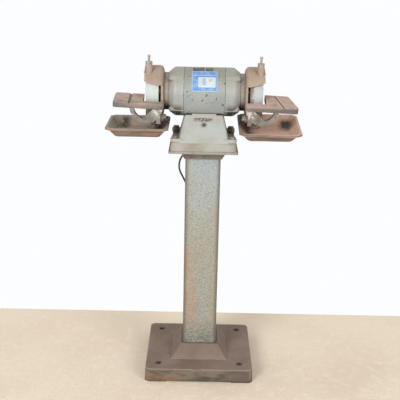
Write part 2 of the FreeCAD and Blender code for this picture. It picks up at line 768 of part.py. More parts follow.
def guards():
    drum = turned("guard_drum", [
        ("guard_start", "flange_hub_radius + guard_wall"), (GUARD_WALL_END, "flange_hub_radius + guard_wall"),
        (GUARD_WALL_END, GUARD_BORE), ("guard_outer", GUARD_BORE), ("guard_outer", "guard_radius"),
        ("guard_start", "guard_radius"), ("guard_start", "neck_radius"), ("bell_end", "neck_radius"),
        ("bell_end", "spigot_radius + fit_gap"), ("guard_start", "spigot_radius + fit_gap")])

    def inner_shoulder(edge):
        ring = isinstance(edge.Curve, Part.Circle) and abs(edge.Curve.Radius - number("guard_radius")) < 0.01
        return ring and abs(edge.Curve.Center.x - number("guard_start")) < 0.01

    drum = rounded("guard_rounded", drum, "guard_shoulder", inner_shoulder)
    reach = "2 * guard_radius"
    mouth = box("guard_mouth", reach, "guard_radius + 1", "guard_radius + 1 + guard_lip_rise", GUARD_WALL_END,
                "-guard_radius - 1", "spindle_height - guard_radius - 1")

    def mouth_corner(edge):
        low = edge.BoundBox
        return low.XMax < number(GUARD_WALL_END) + 0.01 and low.ZMin > number(LIP_HEIGHT) - 0.01

    mouth = rounded("guard_mouth_round", mouth, "guard_mouth_corner", mouth_corner)
    slant = box("guard_lip_wedge", reach, "guard_radius + 1", "guard_radius / 2", "0", "0",
                "-guard_radius / 2")
    slant = place(group("guard_lip_cut", slant), GUARD_WALL_END + " + guard_mouth_corner",
                  "-guard_radius - 1", LIP_HEIGHT, "vector(0; 1; 0); -guard_lip_slant")
    edge_cut = box("guard_edge_cut", reach, "guard_edge_back", "guard_radius + guard_lip_rise", "guard_start",
                   "-guard_radius", "spindle_height - guard_radius")
    pivot_reach = "(rest_pivot_left + rest_slide)"
    lug_z = "%s - rest_lug_height / 2" % REST_PIVOT_HEIGHT
    lug = box("rest_lug", "guard_wall", pivot_reach + " - guard_radius / 4", "rest_lug_height", "guard_start",
              "-" + pivot_reach, lug_z)
    lug_end = rod("rest_lug_end", "rest_lug_height / 2", "guard_wall", "guard_start", "-" + pivot_reach,
                  REST_PIVOT_HEIGHT, ALONG_X)
    slot_radius = "(clamp_bolt_radius + 4 * fit_gap)"
    slot = box("rest_slot", "guard_wall", pivot_reach + " - rest_pivot_right", "2 * %s" % slot_radius,
               "guard_start", "-" + pivot_reach, "%s - %s" % (REST_PIVOT_HEIGHT, slot_radius))
    slot_ends = [rod("rest_slot_%s" % end, slot_radius, "guard_wall", "guard_start", y, REST_PIVOT_HEIGHT,
                     ALONG_X)
                 for end, y in (("far", "-" + pivot_reach), ("near", "-rest_pivot_right"))]
    room = rod("guard_room", GUARD_BORE, "guard_outer - " + GUARD_WALL_END, GUARD_WALL_END, "0",
               "spindle_height", ALONG_X)
    shield_boss = rod("shield_boss", "shield_boss_radius", "shield_boss_top - shield_boss_y", "shield_boss_x",
                      "-shield_boss_y", "spindle_height + shield_boss_y")
    post_boss = rod("post_boss", "post_boss_radius", "post_boss_drop - guard_radius * 0.8",
                    "post_x", "post_y", POST_BOSS_BOTTOM)
    cover_bosses = [rod("cover_boss%d" % i, "cover_boss_radius", "cover_boss_length",
                        "guard_outer - cover_boss_length", y, z, ALONG_X)
                    for i, (y, z) in enumerate(cover_screw_points()[:2])]
    bosses = cut("guard_bosses", fuse("guard_boss_set", shield_boss, post_boss, *cover_bosses), room)
    opened = cut("guard_opened", drum, mouth, slant, edge_cut)
    solid = fuse("guard_solid", opened, bosses, lug, lug_end)
    holes = [rod("guard_hole%d" % i, "screw_radius + fit_gap", "guard_wall", "guard_start", y, z, ALONG_X)
             for i, (y, z) in enumerate(screw_places("guard_screw_circle", 3, 90))]
    threads = [rod("cover_thread%d" % i, "screw_radius / 2 + fit_gap", "cover_boss_length / 2",
                   "guard_outer - cover_boss_length / 2", y, z, ALONG_X)
               for i, (y, z) in enumerate(cover_screw_points())]
    stud_hole = rod("stud_hole", "shield_stud_radius + fit_gap", "shield_boss_radius", "shield_boss_x",
                    "-shield_boss_y", "spindle_height + shield_boss_top - shield_boss_radius")
    guard = cut("guard_cut", solid, slot, *slot_ends, *holes, *threads, stud_hole,
                set_screw("set_hole", "fit_gap"))
    keep("right_guard", guard)
    keep("left_guard", mirrored("left_guard_mirror", guard))
    set_screw_right = set_screw("set_screw", "0")
    keep("guard_set_screws", group("set_screws", set_screw_right,
                                   mirrored("set_screw_left", set_screw_right)))


def set_screw(name, gap):
    """A grub screw that points at the spindle through the guard's neck."""
    y = "-spigot_radius * sin(set_screw_lean)"
    z = "spindle_height + spigot_radius * cos(set_screw_lean)"
    return rod(name, "screw_radius + " + gap, "neck_radius - spigot_radius + 1", "set_screw_x", y, z,
               "vector(1; 0; 0); set_screw_lean")


def guard_covers():
    disc = rod("cover_disc", "guard_radius", "cover_thickness", "guard_outer", "0", "spindle_height", ALONG_X)
    ears = [rod("cover_ear%d" % i, "cover_boss_radius", "cover_thickness", "guard_outer", y, z, ALONG_X)
            for i, (y, z) in enumerate(cover_screw_points())]
    front = box("cover_front", "cover_thickness", "guard_radius + cover_cut_back",
                "guard_radius + guard_lip_rise + %s * tan(guard_lip_slant)" % LIP_SPAN, "guard_outer",
                "-guard_radius", "spindle_height - guard_radius")
    holes = [rod("cover_hole%d" % i, "screw_radius / 2 + fit_gap", "cover_thickness", "guard_outer", y, z,
                 ALONG_X)
             for i, (y, z) in enumerate(cover_screw_points())]
    cover = cut("cover_cut", fuse("cover_solid", disc, *ears), front, *holes)
    keep("right_guard_cover", cover)
    keep("left_guard_cover", mirrored("left_cover_mirror", cover))


def screw_set(name, points, shank, head, head_height, start, grip):
    """Round-headed screws along X on both guards: the head stands outside start, the shank fills the grip."""
    screws = []
    for i, (y, z) in enumerate(points):
        screw = fuse("%s%d" % (name, i),
                     rod("%s_head%d" % (name, i), head, head_height, start, y, z, ALONG_X),
                     rod("%s_shank%d" % (name, i), shank, grip, "%s - (%s)" % (start, grip), y, z, ALONG_X))
        screws += [screw, mirrored("%s_left%d" % (name, i), screw)]
    keep(name, group(name + "_set", *screws))


def guard_fasteners():
    screw_set("guard_screws", screw_places("guard_screw_circle", 3, 90), "screw_radius", "screw_head_radius",
              "screw_head_height", GUARD_WALL_END, "2 * guard_wall")
    screw_set("cover_screws", cover_screw_points(), "screw_radius / 2", "screw_radius",
              "screw_head_height / 2",
              "guard_outer + cover_thickness", "cover_thickness + cover_boss_length / 2")
    top = "spindle_height + shield_boss_top"
    nut = hexagon("shield_nut", "shield_nut_radius", "shield_nut_height", "shield_boss_x", "-shield_boss_y",
                  top)
    nut = cut("shield_nut_cut", nut, rod("shield_nut_bore", "shield_stud_radius + fit_gap",
                                         "shield_nut_height", "shield_boss_x", "-shield_boss_y", top))
    keep("shield_nuts", group("shield_nut_pair", nut, mirrored("shield_nut_left", nut)))
    stem = rod("shield_stem", "shield_stud_radius",
               "shield_boss_radius + shield_nut_height + shield_stud_height",
               "shield_boss_x", "-shield_boss_y", top + " - shield_boss_radius")
    knob = rod("shield_knob", "shield_stud_radius + 1", "2 * shield_stud_radius", "shield_boss_x",
               "-shield_boss_y", top + " + shield_nut_height + shield_stud_height - 2 * shield_stud_radius")
    stud = fuse("shield_stud", stem, knob)
    keep("shield_studs", group("shield_stud_pair", stud, mirrored("shield_stud_left", stud)))


# Tool rests: a half-ring yoke clamped to the guard's lug, with a cast table on its two ends
def rest(side, pivot, tilt, lean, groove, slant, reach):
    py = "(-%s)" % pivot
    foot_x = "(%s + side_gap)" % GUARD_WALL_END
    seat = "(%s + rest_seat)" % REST_PIVOT_HEIGHT
    roll_about = "yoke_centre; %s; %s" % (py, seat)
    tilt_about = "0; %s; %s" % (py, REST_PIVOT_HEIGHT)

    def rolled(piece):
        return place(piece, turn="vector(0; 1; 0); " + lean, about=roll_about)

    def tilted(piece):
        return place(piece, turn="vector(1; 0; 0); " + tilt, about=tilt_about)

    def studs(name, gap):
        arm = "(yoke_radius - yoke_band / 2 - 1)"
        middle = "%s - (yoke_front + yoke_back) / 2" % py
        return [rod("%s_%s_%d" % (side, name, s), "rest_screw_radius + " + gap, "rest_plate_height",
                    "yoke_centre + %d * %s" % (s, arm), middle, seat + " - rest_plate_height / 2")
                for s in (-1, 1)]

    foot = rod(side + "_yoke_foot", "yoke_foot_radius", "yoke_foot_thickness", foot_x, py,
               REST_PIVOT_HEIGHT, ALONG_X)
    bar = box(side + "_yoke_bar", "yoke_foot_thickness", "yoke_front", "2 * yoke_foot_radius", foot_x,
              py + " - yoke_front", REST_PIVOT_HEIGHT + " - yoke_foot_radius")
    depth = "yoke_front - yoke_back"
    centre = "%s + yoke_rise" % REST_PIVOT_HEIGHT
    ring = rod(side + "_yoke_ring", "yoke_radius", depth, "yoke_centre", py + " - yoke_front", centre,
               ALONG_Y)
    bore = rod(side + "_yoke_bore", "yoke_radius - yoke_band", depth, "yoke_centre", py + " - yoke_front",
               centre, ALONG_Y)
    above = box(side + "_yoke_above", "4 * yoke_radius", "4 * yoke_front", "2 * yoke_radius",
                "yoke_centre - 2 * yoke_radius", py + " - 2 * yoke_front", seat)
    above = rolled(fuse(side + "_yoke_top_cut", above, *studs("stud_hole_low", "fit_gap")))
    hole = rod(side + "_yoke_hole", "clamp_bolt_radius + fit_gap", "yoke_foot_thickness", foot_x, py,
               REST_PIVOT_HEIGHT, ALONG_X)
    web = box(side + "_yoke_web", "2 * yoke_radius", depth, "4 * yoke_radius", "-2 * yoke_radius", "0",
              "-2 * yoke_radius")
    web = place(group(side + "_yoke_web_set", web), "yoke_centre - yoke_web_x", py + " - yoke_front",
                centre + " - yoke_web_drop", "vector(0; 1; 0); -45")
    window = cut(side + "_yoke_window", bore, web)
    heel = box(side + "_yoke_heel", "yoke_radius", depth, "2 * yoke_radius", foot_x + " - yoke_radius",
               py + " - yoke_front", "%s + yoke_arm_rise - 2 * yoke_radius" % REST_PIVOT_HEIGHT)
    arch = cut(side + "_yoke_arch", ring, window, heel)
    yoke = tilted(cut(side + "_yoke", fuse(side + "_yoke_solid", arch, foot, bar), above, hole))
    keep_on(side, side + "_rest_yoke", yoke)

    width = "(rest_plate_outer + %s - rest_plate_inner)" % reach
    length = "(rest_plate_front + rest_plate_back)"
    front_y = py + " - rest_plate_front"
    table = box(side + "_table", width, length, "rest_plate_height", "rest_plate_inner", front_y, seat)
    if number(slant):
        end = box(side + "_table_end", width, "3 * " + length, "2 * rest_plate_height", "0", "-" + length,
                  "-rest_plate_height / 2")
        end = place(group(side + "_table_end_set", end), "rest_plate_inner + " + width, front_y + " - 1",
                    seat, "vector(0; 0; 1); " + slant)
        table = cut(side + "_table_slanted", table, end)
    table = rounded(side + "_table_corners", table, "rest_plate_corner", upright)
    top = number(seat) + number("rest_plate_height")
    table = rounded(side + "_table_round", table, "rest_plate_round",
                    lambda edge: edge.BoundBox.ZMin > top - 0.01)
    notch = box(side + "_table_notch", "rest_notch_outer - rest_plate_inner", "2 * rest_plate_back", width,
                "rest_plate_inner", py + " - rest_strip_back", seat)
    cutter = box(side + "_groove_box", groove, "4 * rest_plate_back", "2 * rest_groove_depth",
                 "-(%s) / 2" % groove, "-2 * rest_plate_back", "-rest_groove_depth")
    cutter = group(side + "_groove", cutter)
    place(cutter, "rest_groove_x", py + " + (rest_plate_back - rest_plate_front) / 2",
          seat + " + rest_plate_height", "vector(0; 0; 1); " + slant)
    rest_table = cut(side + "_table_cut", table, notch, cutter, *studs("stud_hole_high", "fit_gap"))
    keep_on(side, side + "_rest_table", tilted(group(side + "_table_tilted", rolled(rest_table))))
    pins = rolled(group(side + "_stud_pair", *studs("stud", "0")))
    keep_on(side, side + "_rest_studs", tilted(group(side + "_studs_tilted", pins)))

    foot_end = "(%s + yoke_foot_thickness)" % foot_x
    inner = "(guard_start - side_gap)"
    clamp = fuse(side + "_clamp",
                 rod(side + "_clamp_shank", "clamp_bolt_radius",
                     "%s - %s + clamp_washer_height" % (foot_end, inner),
                     inner, py, REST_PIVOT_HEIGHT, ALONG_X),
                 rod(side + "_clamp_washer", "clamp_washer_radius", "clamp_washer_height",
                     inner + " - clamp_washer_height", py, REST_PIVOT_HEIGHT, ALONG_X),
                 hexagon(side + "_clamp_head", "clamp_head_radius", "clamp_head_height",
                         inner + " - clamp_washer_height - clamp_head_height", py, REST_PIVOT_HEIGHT,
                         ALONG_X),
                 rod(side + "_clamp_far_washer", "clamp_washer_radius", "clamp_washer_height",
                     foot_end + " + side_gap", py, REST_PIVOT_HEIGHT, ALONG_X),
                 hexagon(side + "_clamp_nut", "clamp_head_radius", "clamp_head_height",
                         foot_end + " + side_gap + clamp_washer_height", py, REST_PIVOT_HEIGHT, ALONG_X))
    keep_on(side, side + "_rest_clamp", clamp)


# Swarf trays: flared pans with a beaded rim, each bolted to a post under its guard
def octagon(inset, chamfer):
    x0 = "(tray_inner + (%s))" % inset
    x1 = "(tray_outer - (%s))" % inset
    y0 = "(-tray_front + (%s))" % inset
    y1 = "(tray_back - (%s))" % inset
    return [(x0 + " + " + chamfer, y0), (x1 + " - " + chamfer, y0), (x1, y0 + " + " + chamfer),
            (x1, y1 + " - " + chamfer), (x1 + " - " + chamfer, y1), (x0 + " + " + chamfer, y1),
            (x0, y1 + " - " + chamfer), (x0, y0 + " + " + chamfer)]


def tray(side, drop, tilt):
    rim = "(spindle_height - %s)" % drop
    floor = "(%s - tray_depth)" % rim
    small = "(tray_chamfer * 0.6)"
    lip = "(tray_bead / 2)"
    pan = lofted(side + "_pan", "XY_Plane", [
        (octagon(lip, "tray_chamfer"), rim), (octagon(lip + " + tray_slope", small), floor)])
    bead = lofted(side + "_bead", "XY_Plane", [
        (octagon("0", "tray_chamfer"), rim + " - tray_bead"),
        (octagon("0", "tray_chamfer"), rim)])
    steep = "tray_slope * (1 - tray_wall / tray_depth)"
    room = lofted(side + "_room", "XY_Plane", [
        (octagon("tray_wall + " + lip, "tray_chamfer"), rim),
        (octagon("tray_wall + %s + %s" % (lip, steep), small), floor + " + tray_wall")])
    places = [("post_x + tray_bolt_circle * cos(%d)" % a, "post_y + tray_bolt_circle * sin(%d)" % a)
              for a in (30, 150, 270)]
    holes = [rod("%s_tray_hole%d" % (side, i), "tray_bolt_radius + fit_gap",
                 "tray_wall + post_flange_height", x, y, floor) for i, (x, y) in enumerate(places)]
    about = "0; post_y; " + POST_BOSS_BOTTOM

    def tilted(piece):
        return place(piece, turn="vector(1; 0; 0); " + tilt, about=about)

    shell = cut(side + "_tray_cut", fuse(side + "_tray_solid", pan, bead), room, *holes)
    keep_on(side, side + "_tray", tilted(shell))
    flange = rod(side + "_post_flange", "post_flange_radius", "post_flange_height", "post_x", "post_y",
                 floor + " + tray_wall")
    bar = rod(side + "_post_bar", "post_radius",
              "%s - %s - tray_wall + post_flange_height" % (POST_BOSS_BOTTOM, floor),
              "post_x", "post_y", floor + " + tray_wall")
    post = tilted(cut(side + "_post_drilled", fuse(side + "_post_solid", flange, bar), *holes))
    above = box(side + "_post_above", "4 * post_radius", "4 * post_radius", "2 * post_flange_height",
                "post_x - 2 * post_radius", "post_y - 2 * post_radius", POST_BOSS_BOTTOM)
    keep_on(side, side + "_tray_post", cut(side + "_post", post, above))
    bolts = []
    for i, (x, y) in enumerate(places):
        grip = "tray_wall + post_flange_height"
        bolts.append(fuse("%s_tray_bolt%d" % (side, i),
                          hexagon("%s_tray_bolt_head%d" % (side, i), "tray_bolt_head",
                                  "tray_bolt_head_height", x, y, "%s + %s" % (floor, grip)),
                          rod("%s_tray_bolt_shank%d" % (side, i), "tray_bolt_radius", grip, x, y, floor),
                          hexagon("%s_tray_bolt_nut%d" % (side, i), "tray_bolt_head",
                                  "tray_bolt_head_height", x, y, floor + " - tray_bolt_head_height")))
    keep_on(side, side + "_tray_bolts", tilted(group(side + "_tray_bolt_set", *bolts)))


# Switch: a toggle in a threaded bush on the stand's front, its lever hinged across the bush
def switch():
    depth = "(stand_wall + 2)"
    bore = rod("bush_bore", "switch_lever_radius + 1.5", "2 * stand_height", z="-stand_height")
    bush = cut("switch_bush_solid", fuse(
        "switch_bush_parts", rod("bush_ring", "switch_bush_radius", "switch_bush_height"),
        rod("bush_sleeve", "switch_hole_radius - fit_gap", depth, z="-" + depth)), bore)
    keep("switch_bush", on_stand_front(bush))
    case = box("switch_case", "switch_body_width", "switch_body_width", "switch_body_depth",
               "-switch_body_width / 2", "-switch_body_width / 2", "-%s - switch_body_depth" % depth)
    keep("switch_body", on_stand_front(group("switch_case_set", case)))
    ball = bound("Part::Sphere", "lever_ball", Radius="switch_lever_radius + 1.2")
    stick = bound("Part::Cone", "lever_stick", Radius1="switch_lever_radius * 0.8",
                  Radius2="switch_lever_radius", Height="switch_lever_length")
    tip = place(bound("Part::Sphere", "lever_tip", Radius="switch_lever_radius"), z="switch_lever_length")
    lever = fuse("lever_parts", ball, stick, tip)
    place(lever, turn="vector(1; 0; 0); switch_throw")
    keep("switch_lever", on_stand_front(group("lever_set", lever)))


# Supply lead: out of a gland at the back of the stand, down behind the column, coiled on the floor
def cord_route():
    """The lead's points from the gland to the coil, chosen by hand."""
    back = number("stand_foot_y / 2 - (%s - %s) * %s" % (GLAND_HEIGHT, STAND_FOOT, STAND_SLOPE))
    top = number(GLAND_HEIGHT)
    exit_y = back + number("gland_length")
    side_x = number("-coil_radius - coil_turns * coil_pitch / 2")
    low = number("coil_floor_gap")
    coil_y = number("coil_y")
    lead_in = number("2 * cord_radius")
    points = [
        (number("gland_x"), exit_y, top), (-25, exit_y + 21, top), (-26, 144, top - 12.5),
        (-29, 155, top - 36), (-38, 148, top - 70), (-58, 121, top - 104), (-77, 94, top - 126),
        (-78, 79, top - 154), (-62, 73, top - 182), (-45, 76, top - 220), (-36, 80, top - 280),
        (-30, 75, 0.57 * top), (-31, 78, 0.475 * top), (-27, 75, 0.375 * top), (-28, 78, 0.28 * top),
        (-25, 84, 155), (-24, 112, 98), (-28, 146, 68), (-34, 178, 54), (-37, 196, 36), (-39, 211, 19),
        (side_x, coil_y - lead_in - 32, low + 4), (side_x, coil_y - lead_in - 16, low),
        (side_x, coil_y - lead_in, low),
    ]
    return [FreeCAD.Vector(*point) for point in points]


def rounded_path(points):
    """Straight runs joined by the largest tangent arcs that the runs allow, and the arcs' radii."""
    edges = []
    radii = []
    start = points[0]
    for before, corner, after in zip(points, points[1:], points[2:]):
        into = (corner - before).normalize()
        out = (after - corner).normalize()
        turn = into.getAngle(out)
        trim = 0.45 * min((corner - before).Length, (after - corner).Length)
        radii.append(trim / math.tan(turn / 2))
        first = corner - into * trim
        last = corner + out * trim
        middle = (first + last) * 0.5
        inward = (middle - corner).normalize()
        bulge = radii[-1] / math.cos(turn / 2) - radii[-1]
        edges.append(Part.LineSegment(start, first).toShape())
        edges.append(Part.Arc(first, corner + inward * bulge, last).toShape())
        start = last
    edges.append(Part.LineSegment(start, points[-1]).toShape())
    return Part.Wire(edges), radii


def swept(name, path, start, along, radius):
    """A round tube along a path, its volume compared with its section times its length."""
    ring = Part.Wire(Part.Circle(start, along, radius).toShape())
    solid = path.makePipeShell([ring], True, False)
    expected = math.pi * radius ** 2 * path.Length
    print("%s: length %.0f mm, volume ratio %.4f" % (name, path.Length, solid.Volume / expected))
    piece = doc.addObject("Part::Feature", name)
    piece.Shape = solid
    return keep(name, piece)


def biarc(first, along, last, beyond):
    """Two tangent arcs between two points with given directions."""
    span = last - first
    both = along + beyond
    slope = 2 * (1 - along.dot(beyond))
    reach = (math.sqrt(span.dot(both) ** 2 + slope * span.dot(span)) - span.dot(both)) / slope
    middle = (first + last + (along - beyond) * reach) * 0.5
    arcs = []
    for start, end, way in ((first, middle, along), (middle, last, reflected(beyond, last - middle))):
        chord = end - start
        unit = FreeCAD.Vector(chord).normalize()
        side = way - unit * way.dot(unit)
        sagitta = chord.Length / 2 * math.tan(way.getAngle(unit) / 2)
        arcs.append(Part.Arc(start, (start + end) * 0.5 + side.normalize() * sagitta, end).toShape())
    return arcs


def reflected(direction, chord):
    """The direction at the start of an arc that has the given direction at its end."""
    unit = FreeCAD.Vector(chord).normalize()
    return unit * 2 * direction.dot(unit) - direction


def coil_point(turn):
    """A place on the coil: the lower layer winds in, climbs in half a turn, the upper layer winds out."""
    turns = number("coil_turns")
    pitch = number("coil_pitch")
    inner = number("coil_radius") - turns * pitch / 2
    climb = min(max((turn - turns) / 0.5, 0), 1)
    if turn < turns:
        radius = inner + (turns - turn) * pitch
    elif turn < turns + 0.5:
        radius = inner
    else:
        radius = inner + (turn - turns - 0.5) * pitch
    rise = number("coil_lift") * climb * climb * (3 - 2 * climb)
    angle = math.pi - 2 * math.pi * turn
    return FreeCAD.Vector(radius * math.cos(angle), number("coil_y") + radius * math.sin(angle),
                          number("coil_floor_gap") + rise)


def cord():
    radius = number("cord_radius")
    points = cord_route()
    path, radii = rounded_path(points)
    print("lead radii:", " ".join("%.0f" % r for r in radii))
    swept("power_cord", path, points[0], points[1] - points[0], radius)

    turns = 2 * number("coil_turns") + 0.5
    step = 0.25
    tiny = 0.001
    stops = [i * step for i in range(int(turns / step) + 1)]
    spots = [coil_point(t) for t in stops]
    ways = [(coil_point(t + tiny) - coil_point(t - tiny)).normalize() for t in stops]
    ways[0] = FreeCAD.Vector(0, 1, 0)
    ways[-1] = FreeCAD.Vector(0, -1, 0)
    edges = [Part.LineSegment(points[-1], spots[0]).toShape()]
    for i in range(len(stops) - 1):
        edges += biarc(spots[i], ways[i], spots[i + 1], ways[i + 1])
    tail = spots[-1] + ways[-1] * number("coil_tail")
    edges.append(Part.LineSegment(spots[-1], tail).toShape())
    coil_path = Part.Wire(edges)
    line = coil_path.discretize(Number=400)
    spacing = coil_path.Length / 399
    apart = int(3 * 2 * radius / spacing)
    gap = min((line[i] - line[j]).Length for i in range(400) for j in range(i + apart, 400)) - 2 * radius
    print("coil: least gap to itself %.2f mm" % gap)
    swept("cord_coil", coil_path, points[-1], ways[0], radius)
    return tail


def plug(tail):
    """The plug lies beside the coil, its blades away from the lead."""
    back = tail.y
    long = number("plug_length")
    body = box("plug_block", "plug_width", "plug_length", "plug_height", "%f - plug_width / 2" % tail.x,
               "%f - plug_length" % back, "%f - plug_height / 2" % tail.z)
    body = rounded("plug_round", body, "plug_height / 4", lambda edge: edge.BoundBox.YLength > 0.9 * long)
    keep("plug_body", body)
    pins = [box("plug_pin%d" % i, "pin_thickness", "pin_length", "pin_width",
                "%f + %d * pin_spacing / 2 - pin_thickness / 2" % (tail.x, s),
                "%f - plug_length - pin_length" % back, "%f - pin_width / 2" % tail.z)
            for i, s in enumerate((-1, 1))]
    keep("plug_pins", group("plug_pin_pair", *pins))


def coil_tie():
    """A flat band round both layers of the coil at its far side."""
    inner = "coil_y + coil_radius - coil_turns * coil_pitch / 2 - cord_radius - 3 * side_gap"
    span = "coil_turns * coil_pitch + 2 * cord_radius + 6 * side_gap"
    bottom = "coil_floor_gap - cord_radius - side_gap"
    tall = "coil_lift + 2 * cord_radius + 2 * side_gap"
    window = box("tie_window", "2 * tie_band", span, tall, "-tie_band", inner, bottom)
    band = box("tie_outside", "tie_band", span + " + 2 * tie_thickness", tall + " + 2 * tie_thickness",
               "-tie_band / 2", inner + " - tie_thickness", bottom + " - tie_thickness")
    keep("coil_tie", cut("tie_cut", band, window))


def cord_gland():
    """A tapered strain relief whose root follows the stand's sloping back."""
    back = "(stand_foot_y / 2 - (%s - %s) * %s)" % (GLAND_HEIGHT, STAND_FOOT, STAND_SLOPE)
    root = "2 * gland_radius * " + STAND_SLOPE
    cone = bound("Part::Cone", "gland_cone", Radius1="gland_radius", Radius2="cord_radius + 1",
                 Height="gland_length + " + root)
    place(cone, "gland_x", "%s - %s" % (back, root), GLAND_HEIGHT, ALONG_Y)
    wall = frustum("gland_wall", "stand_foot_x", "stand_foot_y", "stand_head_x", "stand_head_y",
                   "stand_height", STAND_FOOT)
    keep("cord_gland", cut("gland_cut", cone, wall))


def check_and_write():
    """Stop at any piece that failed, then write each node's file."""
    doc.recompute()
    for item in doc.Objects:
        if "Invalid" in item.State or "Error" in item.State:
            raise RuntimeError("%s failed: %s" % (item.Name, item.State))
    for name, piece in nodes.items():
        if piece.Shape.isNull() or not piece.Shape.isValid() or not piece.Shape.Solids:
            raise RuntimeError("%s has no valid solid" % name)
    os.makedirs("parts", exist_ok=True)
    for name, piece in nodes.items():
        piece.Shape.exportStep("parts/%s.step" % name)
    print("%d nodes" % len(nodes))


floor_base()
column()
column_tie_rod()
column_collar()
top_plate()
motor_stand()
switch()
motor_shell()
stator()
end_bells()
tie_bolts()
bearings()
spindle()
wheels()
guards()
guard_covers()
guard_fasteners()
rest("left", "rest_pivot_left", "rest_tilt_left", "-rest_lean_left", "rest_groove_left", "0", "0")
rest("right", "rest_pivot_right", "rest_tilt_right", "rest_lean_right", "rest_groove_right",
     "rest_groove_slant", "rest_plate_reach")
tray("left", "tray_drop_left", "tray_tilt_left")
tray("right", "tray_drop_right", "tray_tilt_right")
cord_gland()
plug(cord())
coil_tie()
check_and_write()
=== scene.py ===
"""A floor-standing double-ended grinder, old and rusted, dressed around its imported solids."""

import math

import bmesh
import bpy
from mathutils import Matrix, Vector


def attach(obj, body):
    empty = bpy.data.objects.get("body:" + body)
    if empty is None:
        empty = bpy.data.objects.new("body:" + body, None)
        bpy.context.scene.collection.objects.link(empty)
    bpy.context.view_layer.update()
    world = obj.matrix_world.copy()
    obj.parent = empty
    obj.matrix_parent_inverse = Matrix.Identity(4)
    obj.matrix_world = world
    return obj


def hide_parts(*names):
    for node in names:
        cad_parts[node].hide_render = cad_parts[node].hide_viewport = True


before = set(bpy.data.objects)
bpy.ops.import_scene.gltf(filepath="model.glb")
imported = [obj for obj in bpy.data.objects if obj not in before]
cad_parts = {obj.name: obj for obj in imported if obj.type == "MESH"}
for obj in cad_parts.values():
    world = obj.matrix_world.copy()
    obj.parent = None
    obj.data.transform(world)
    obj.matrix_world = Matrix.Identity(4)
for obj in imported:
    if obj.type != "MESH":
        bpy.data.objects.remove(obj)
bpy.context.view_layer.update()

# Studio: a pale worn concrete floor that turns into a white sheet behind the machine,
# a large soft lamp high at the left, a weaker one at the right, and a camera at
# standing height in front.
scene = bpy.context.scene
scene.view_settings.view_transform = "Standard"

camera_data = bpy.data.cameras.new("camera")
camera_data.sensor_width = 36
camera_data.lens = 69.15
camera = bpy.data.objects.new("camera", camera_data)
camera.location = (-0.0137, -2.3603, 1.3056)
camera.rotation_euler = [math.radians(a) for a in (72.6035, -1.1375, 0.1874)]
scene.collection.objects.link(camera)
scene.camera = camera

for lamp_name, spot, size, watts in (
        ("key_lamp", (-2.6, -4.2, 2.6), 2.0, 158),
        ("fill_lamp", (3.0, -3.2, 2.2), 2.4, 78)):
    lamp_data = bpy.data.lights.new(lamp_name, "AREA")
    lamp_data.shape = "DISK"
    lamp_data.size = size
    lamp_data.energy = watts
    lamp = bpy.data.objects.new(lamp_name, lamp_data)
    lamp.location = spot
    lamp.rotation_euler = (Vector((0, 0, 0.7)) - Vector(spot)).to_track_quat("-Z", "Y").to_euler()
    scene.collection.objects.link(lamp)


def either(tree, first, second):
    """Where at least one of two masks is."""
    larger = tree.nodes.new("ShaderNodeMath")
    larger.operation = "MAXIMUM"
    tree.links.new(first, larger.inputs[0])
    tree.links.new(second, larger.inputs[1])
    return larger.outputs[0]


def seen_directly(tree):
    """1 for rays that show a surface itself or its reflection, 0 for rays that only carry light."""
    path = tree.nodes.new("ShaderNodeLightPath")
    mirrored = either(tree, path.outputs["Is Glossy Ray"], path.outputs["Is Transmission Ray"])
    return either(tree, path.outputs["Is Camera Ray"], mirrored)


room = bpy.data.worlds.new("white_room")
room.use_nodes = True
room_light = room.node_tree.nodes["Background"]
room_light.inputs["Color"].default_value = (1, 1, 1, 1)
room_shown = room.node_tree.nodes.new("ShaderNodeBackground")
room_shown.inputs["Color"].default_value = (0.98, 0.985, 1, 1)
room_light.inputs["Strength"].default_value = 0.58
room_mix = room.node_tree.nodes.new("ShaderNodeMixShader")
room.node_tree.links.new(seen_directly(room.node_tree), room_mix.inputs["Fac"])
room.node_tree.links.new(room_light.outputs[0], room_mix.inputs[1])
room.node_tree.links.new(room_shown.outputs[0], room_mix.inputs[2])
room.node_tree.links.new(room_mix.outputs[0], room.node_tree.nodes["World Output"].inputs["Surface"])
scene.world = room

SHEET_EDGE = 0.353
floor_mesh = bmesh.new()
bmesh.ops.create_grid(floor_mesh, x_segments=40, y_segments=40, size=8)
floor_data = bpy.data.meshes.new("studio_floor")
floor_mesh.to_mesh(floor_data)
floor_mesh.free()
studio_floor = bpy.data.objects.new("studio_floor", floor_data)
scene.collection.objects.link(studio_floor)


def new_finish(name, roughness, metallic=0.0):
    """An empty finish: the material, its node tree and its shader."""
    material = bpy.data.materials.new(name)
    material.use_nodes = True
    tree = material.node_tree
    shader = tree.nodes["Principled BSDF"]
    shader.inputs["Roughness"].default_value = roughness
    shader.inputs["Metallic"].default_value = metallic
    return material, tree, shader


def blotches(tree, size, low, high, detail=4.0, stretch=(1, 1, 1)):
    """Soft patches about size metres across: 0 where the noise is below low, 1 above high."""
    place = tree.nodes.new("ShaderNodeTexCoord")
    spread = tree.nodes.new("ShaderNodeMapping")
    spread.inputs["Scale"].default_value = stretch
    noise = tree.nodes.new("ShaderNodeTexNoise")
    noise.inputs["Scale"].default_value = 1 / size
    noise.inputs["Detail"].default_value = detail
    levels = tree.nodes.new("ShaderNodeMapRange")
    levels.inputs["From Min"].default_value = low
    levels.inputs["From Max"].default_value = high
    tree.links.new(place.outputs["Object"], spread.inputs["Vector"])
    tree.links.new(spread.outputs["Vector"], noise.inputs["Vector"])
    tree.links.new(noise.outputs["Fac"], levels.inputs["Value"])
    return levels.outputs["Result"]


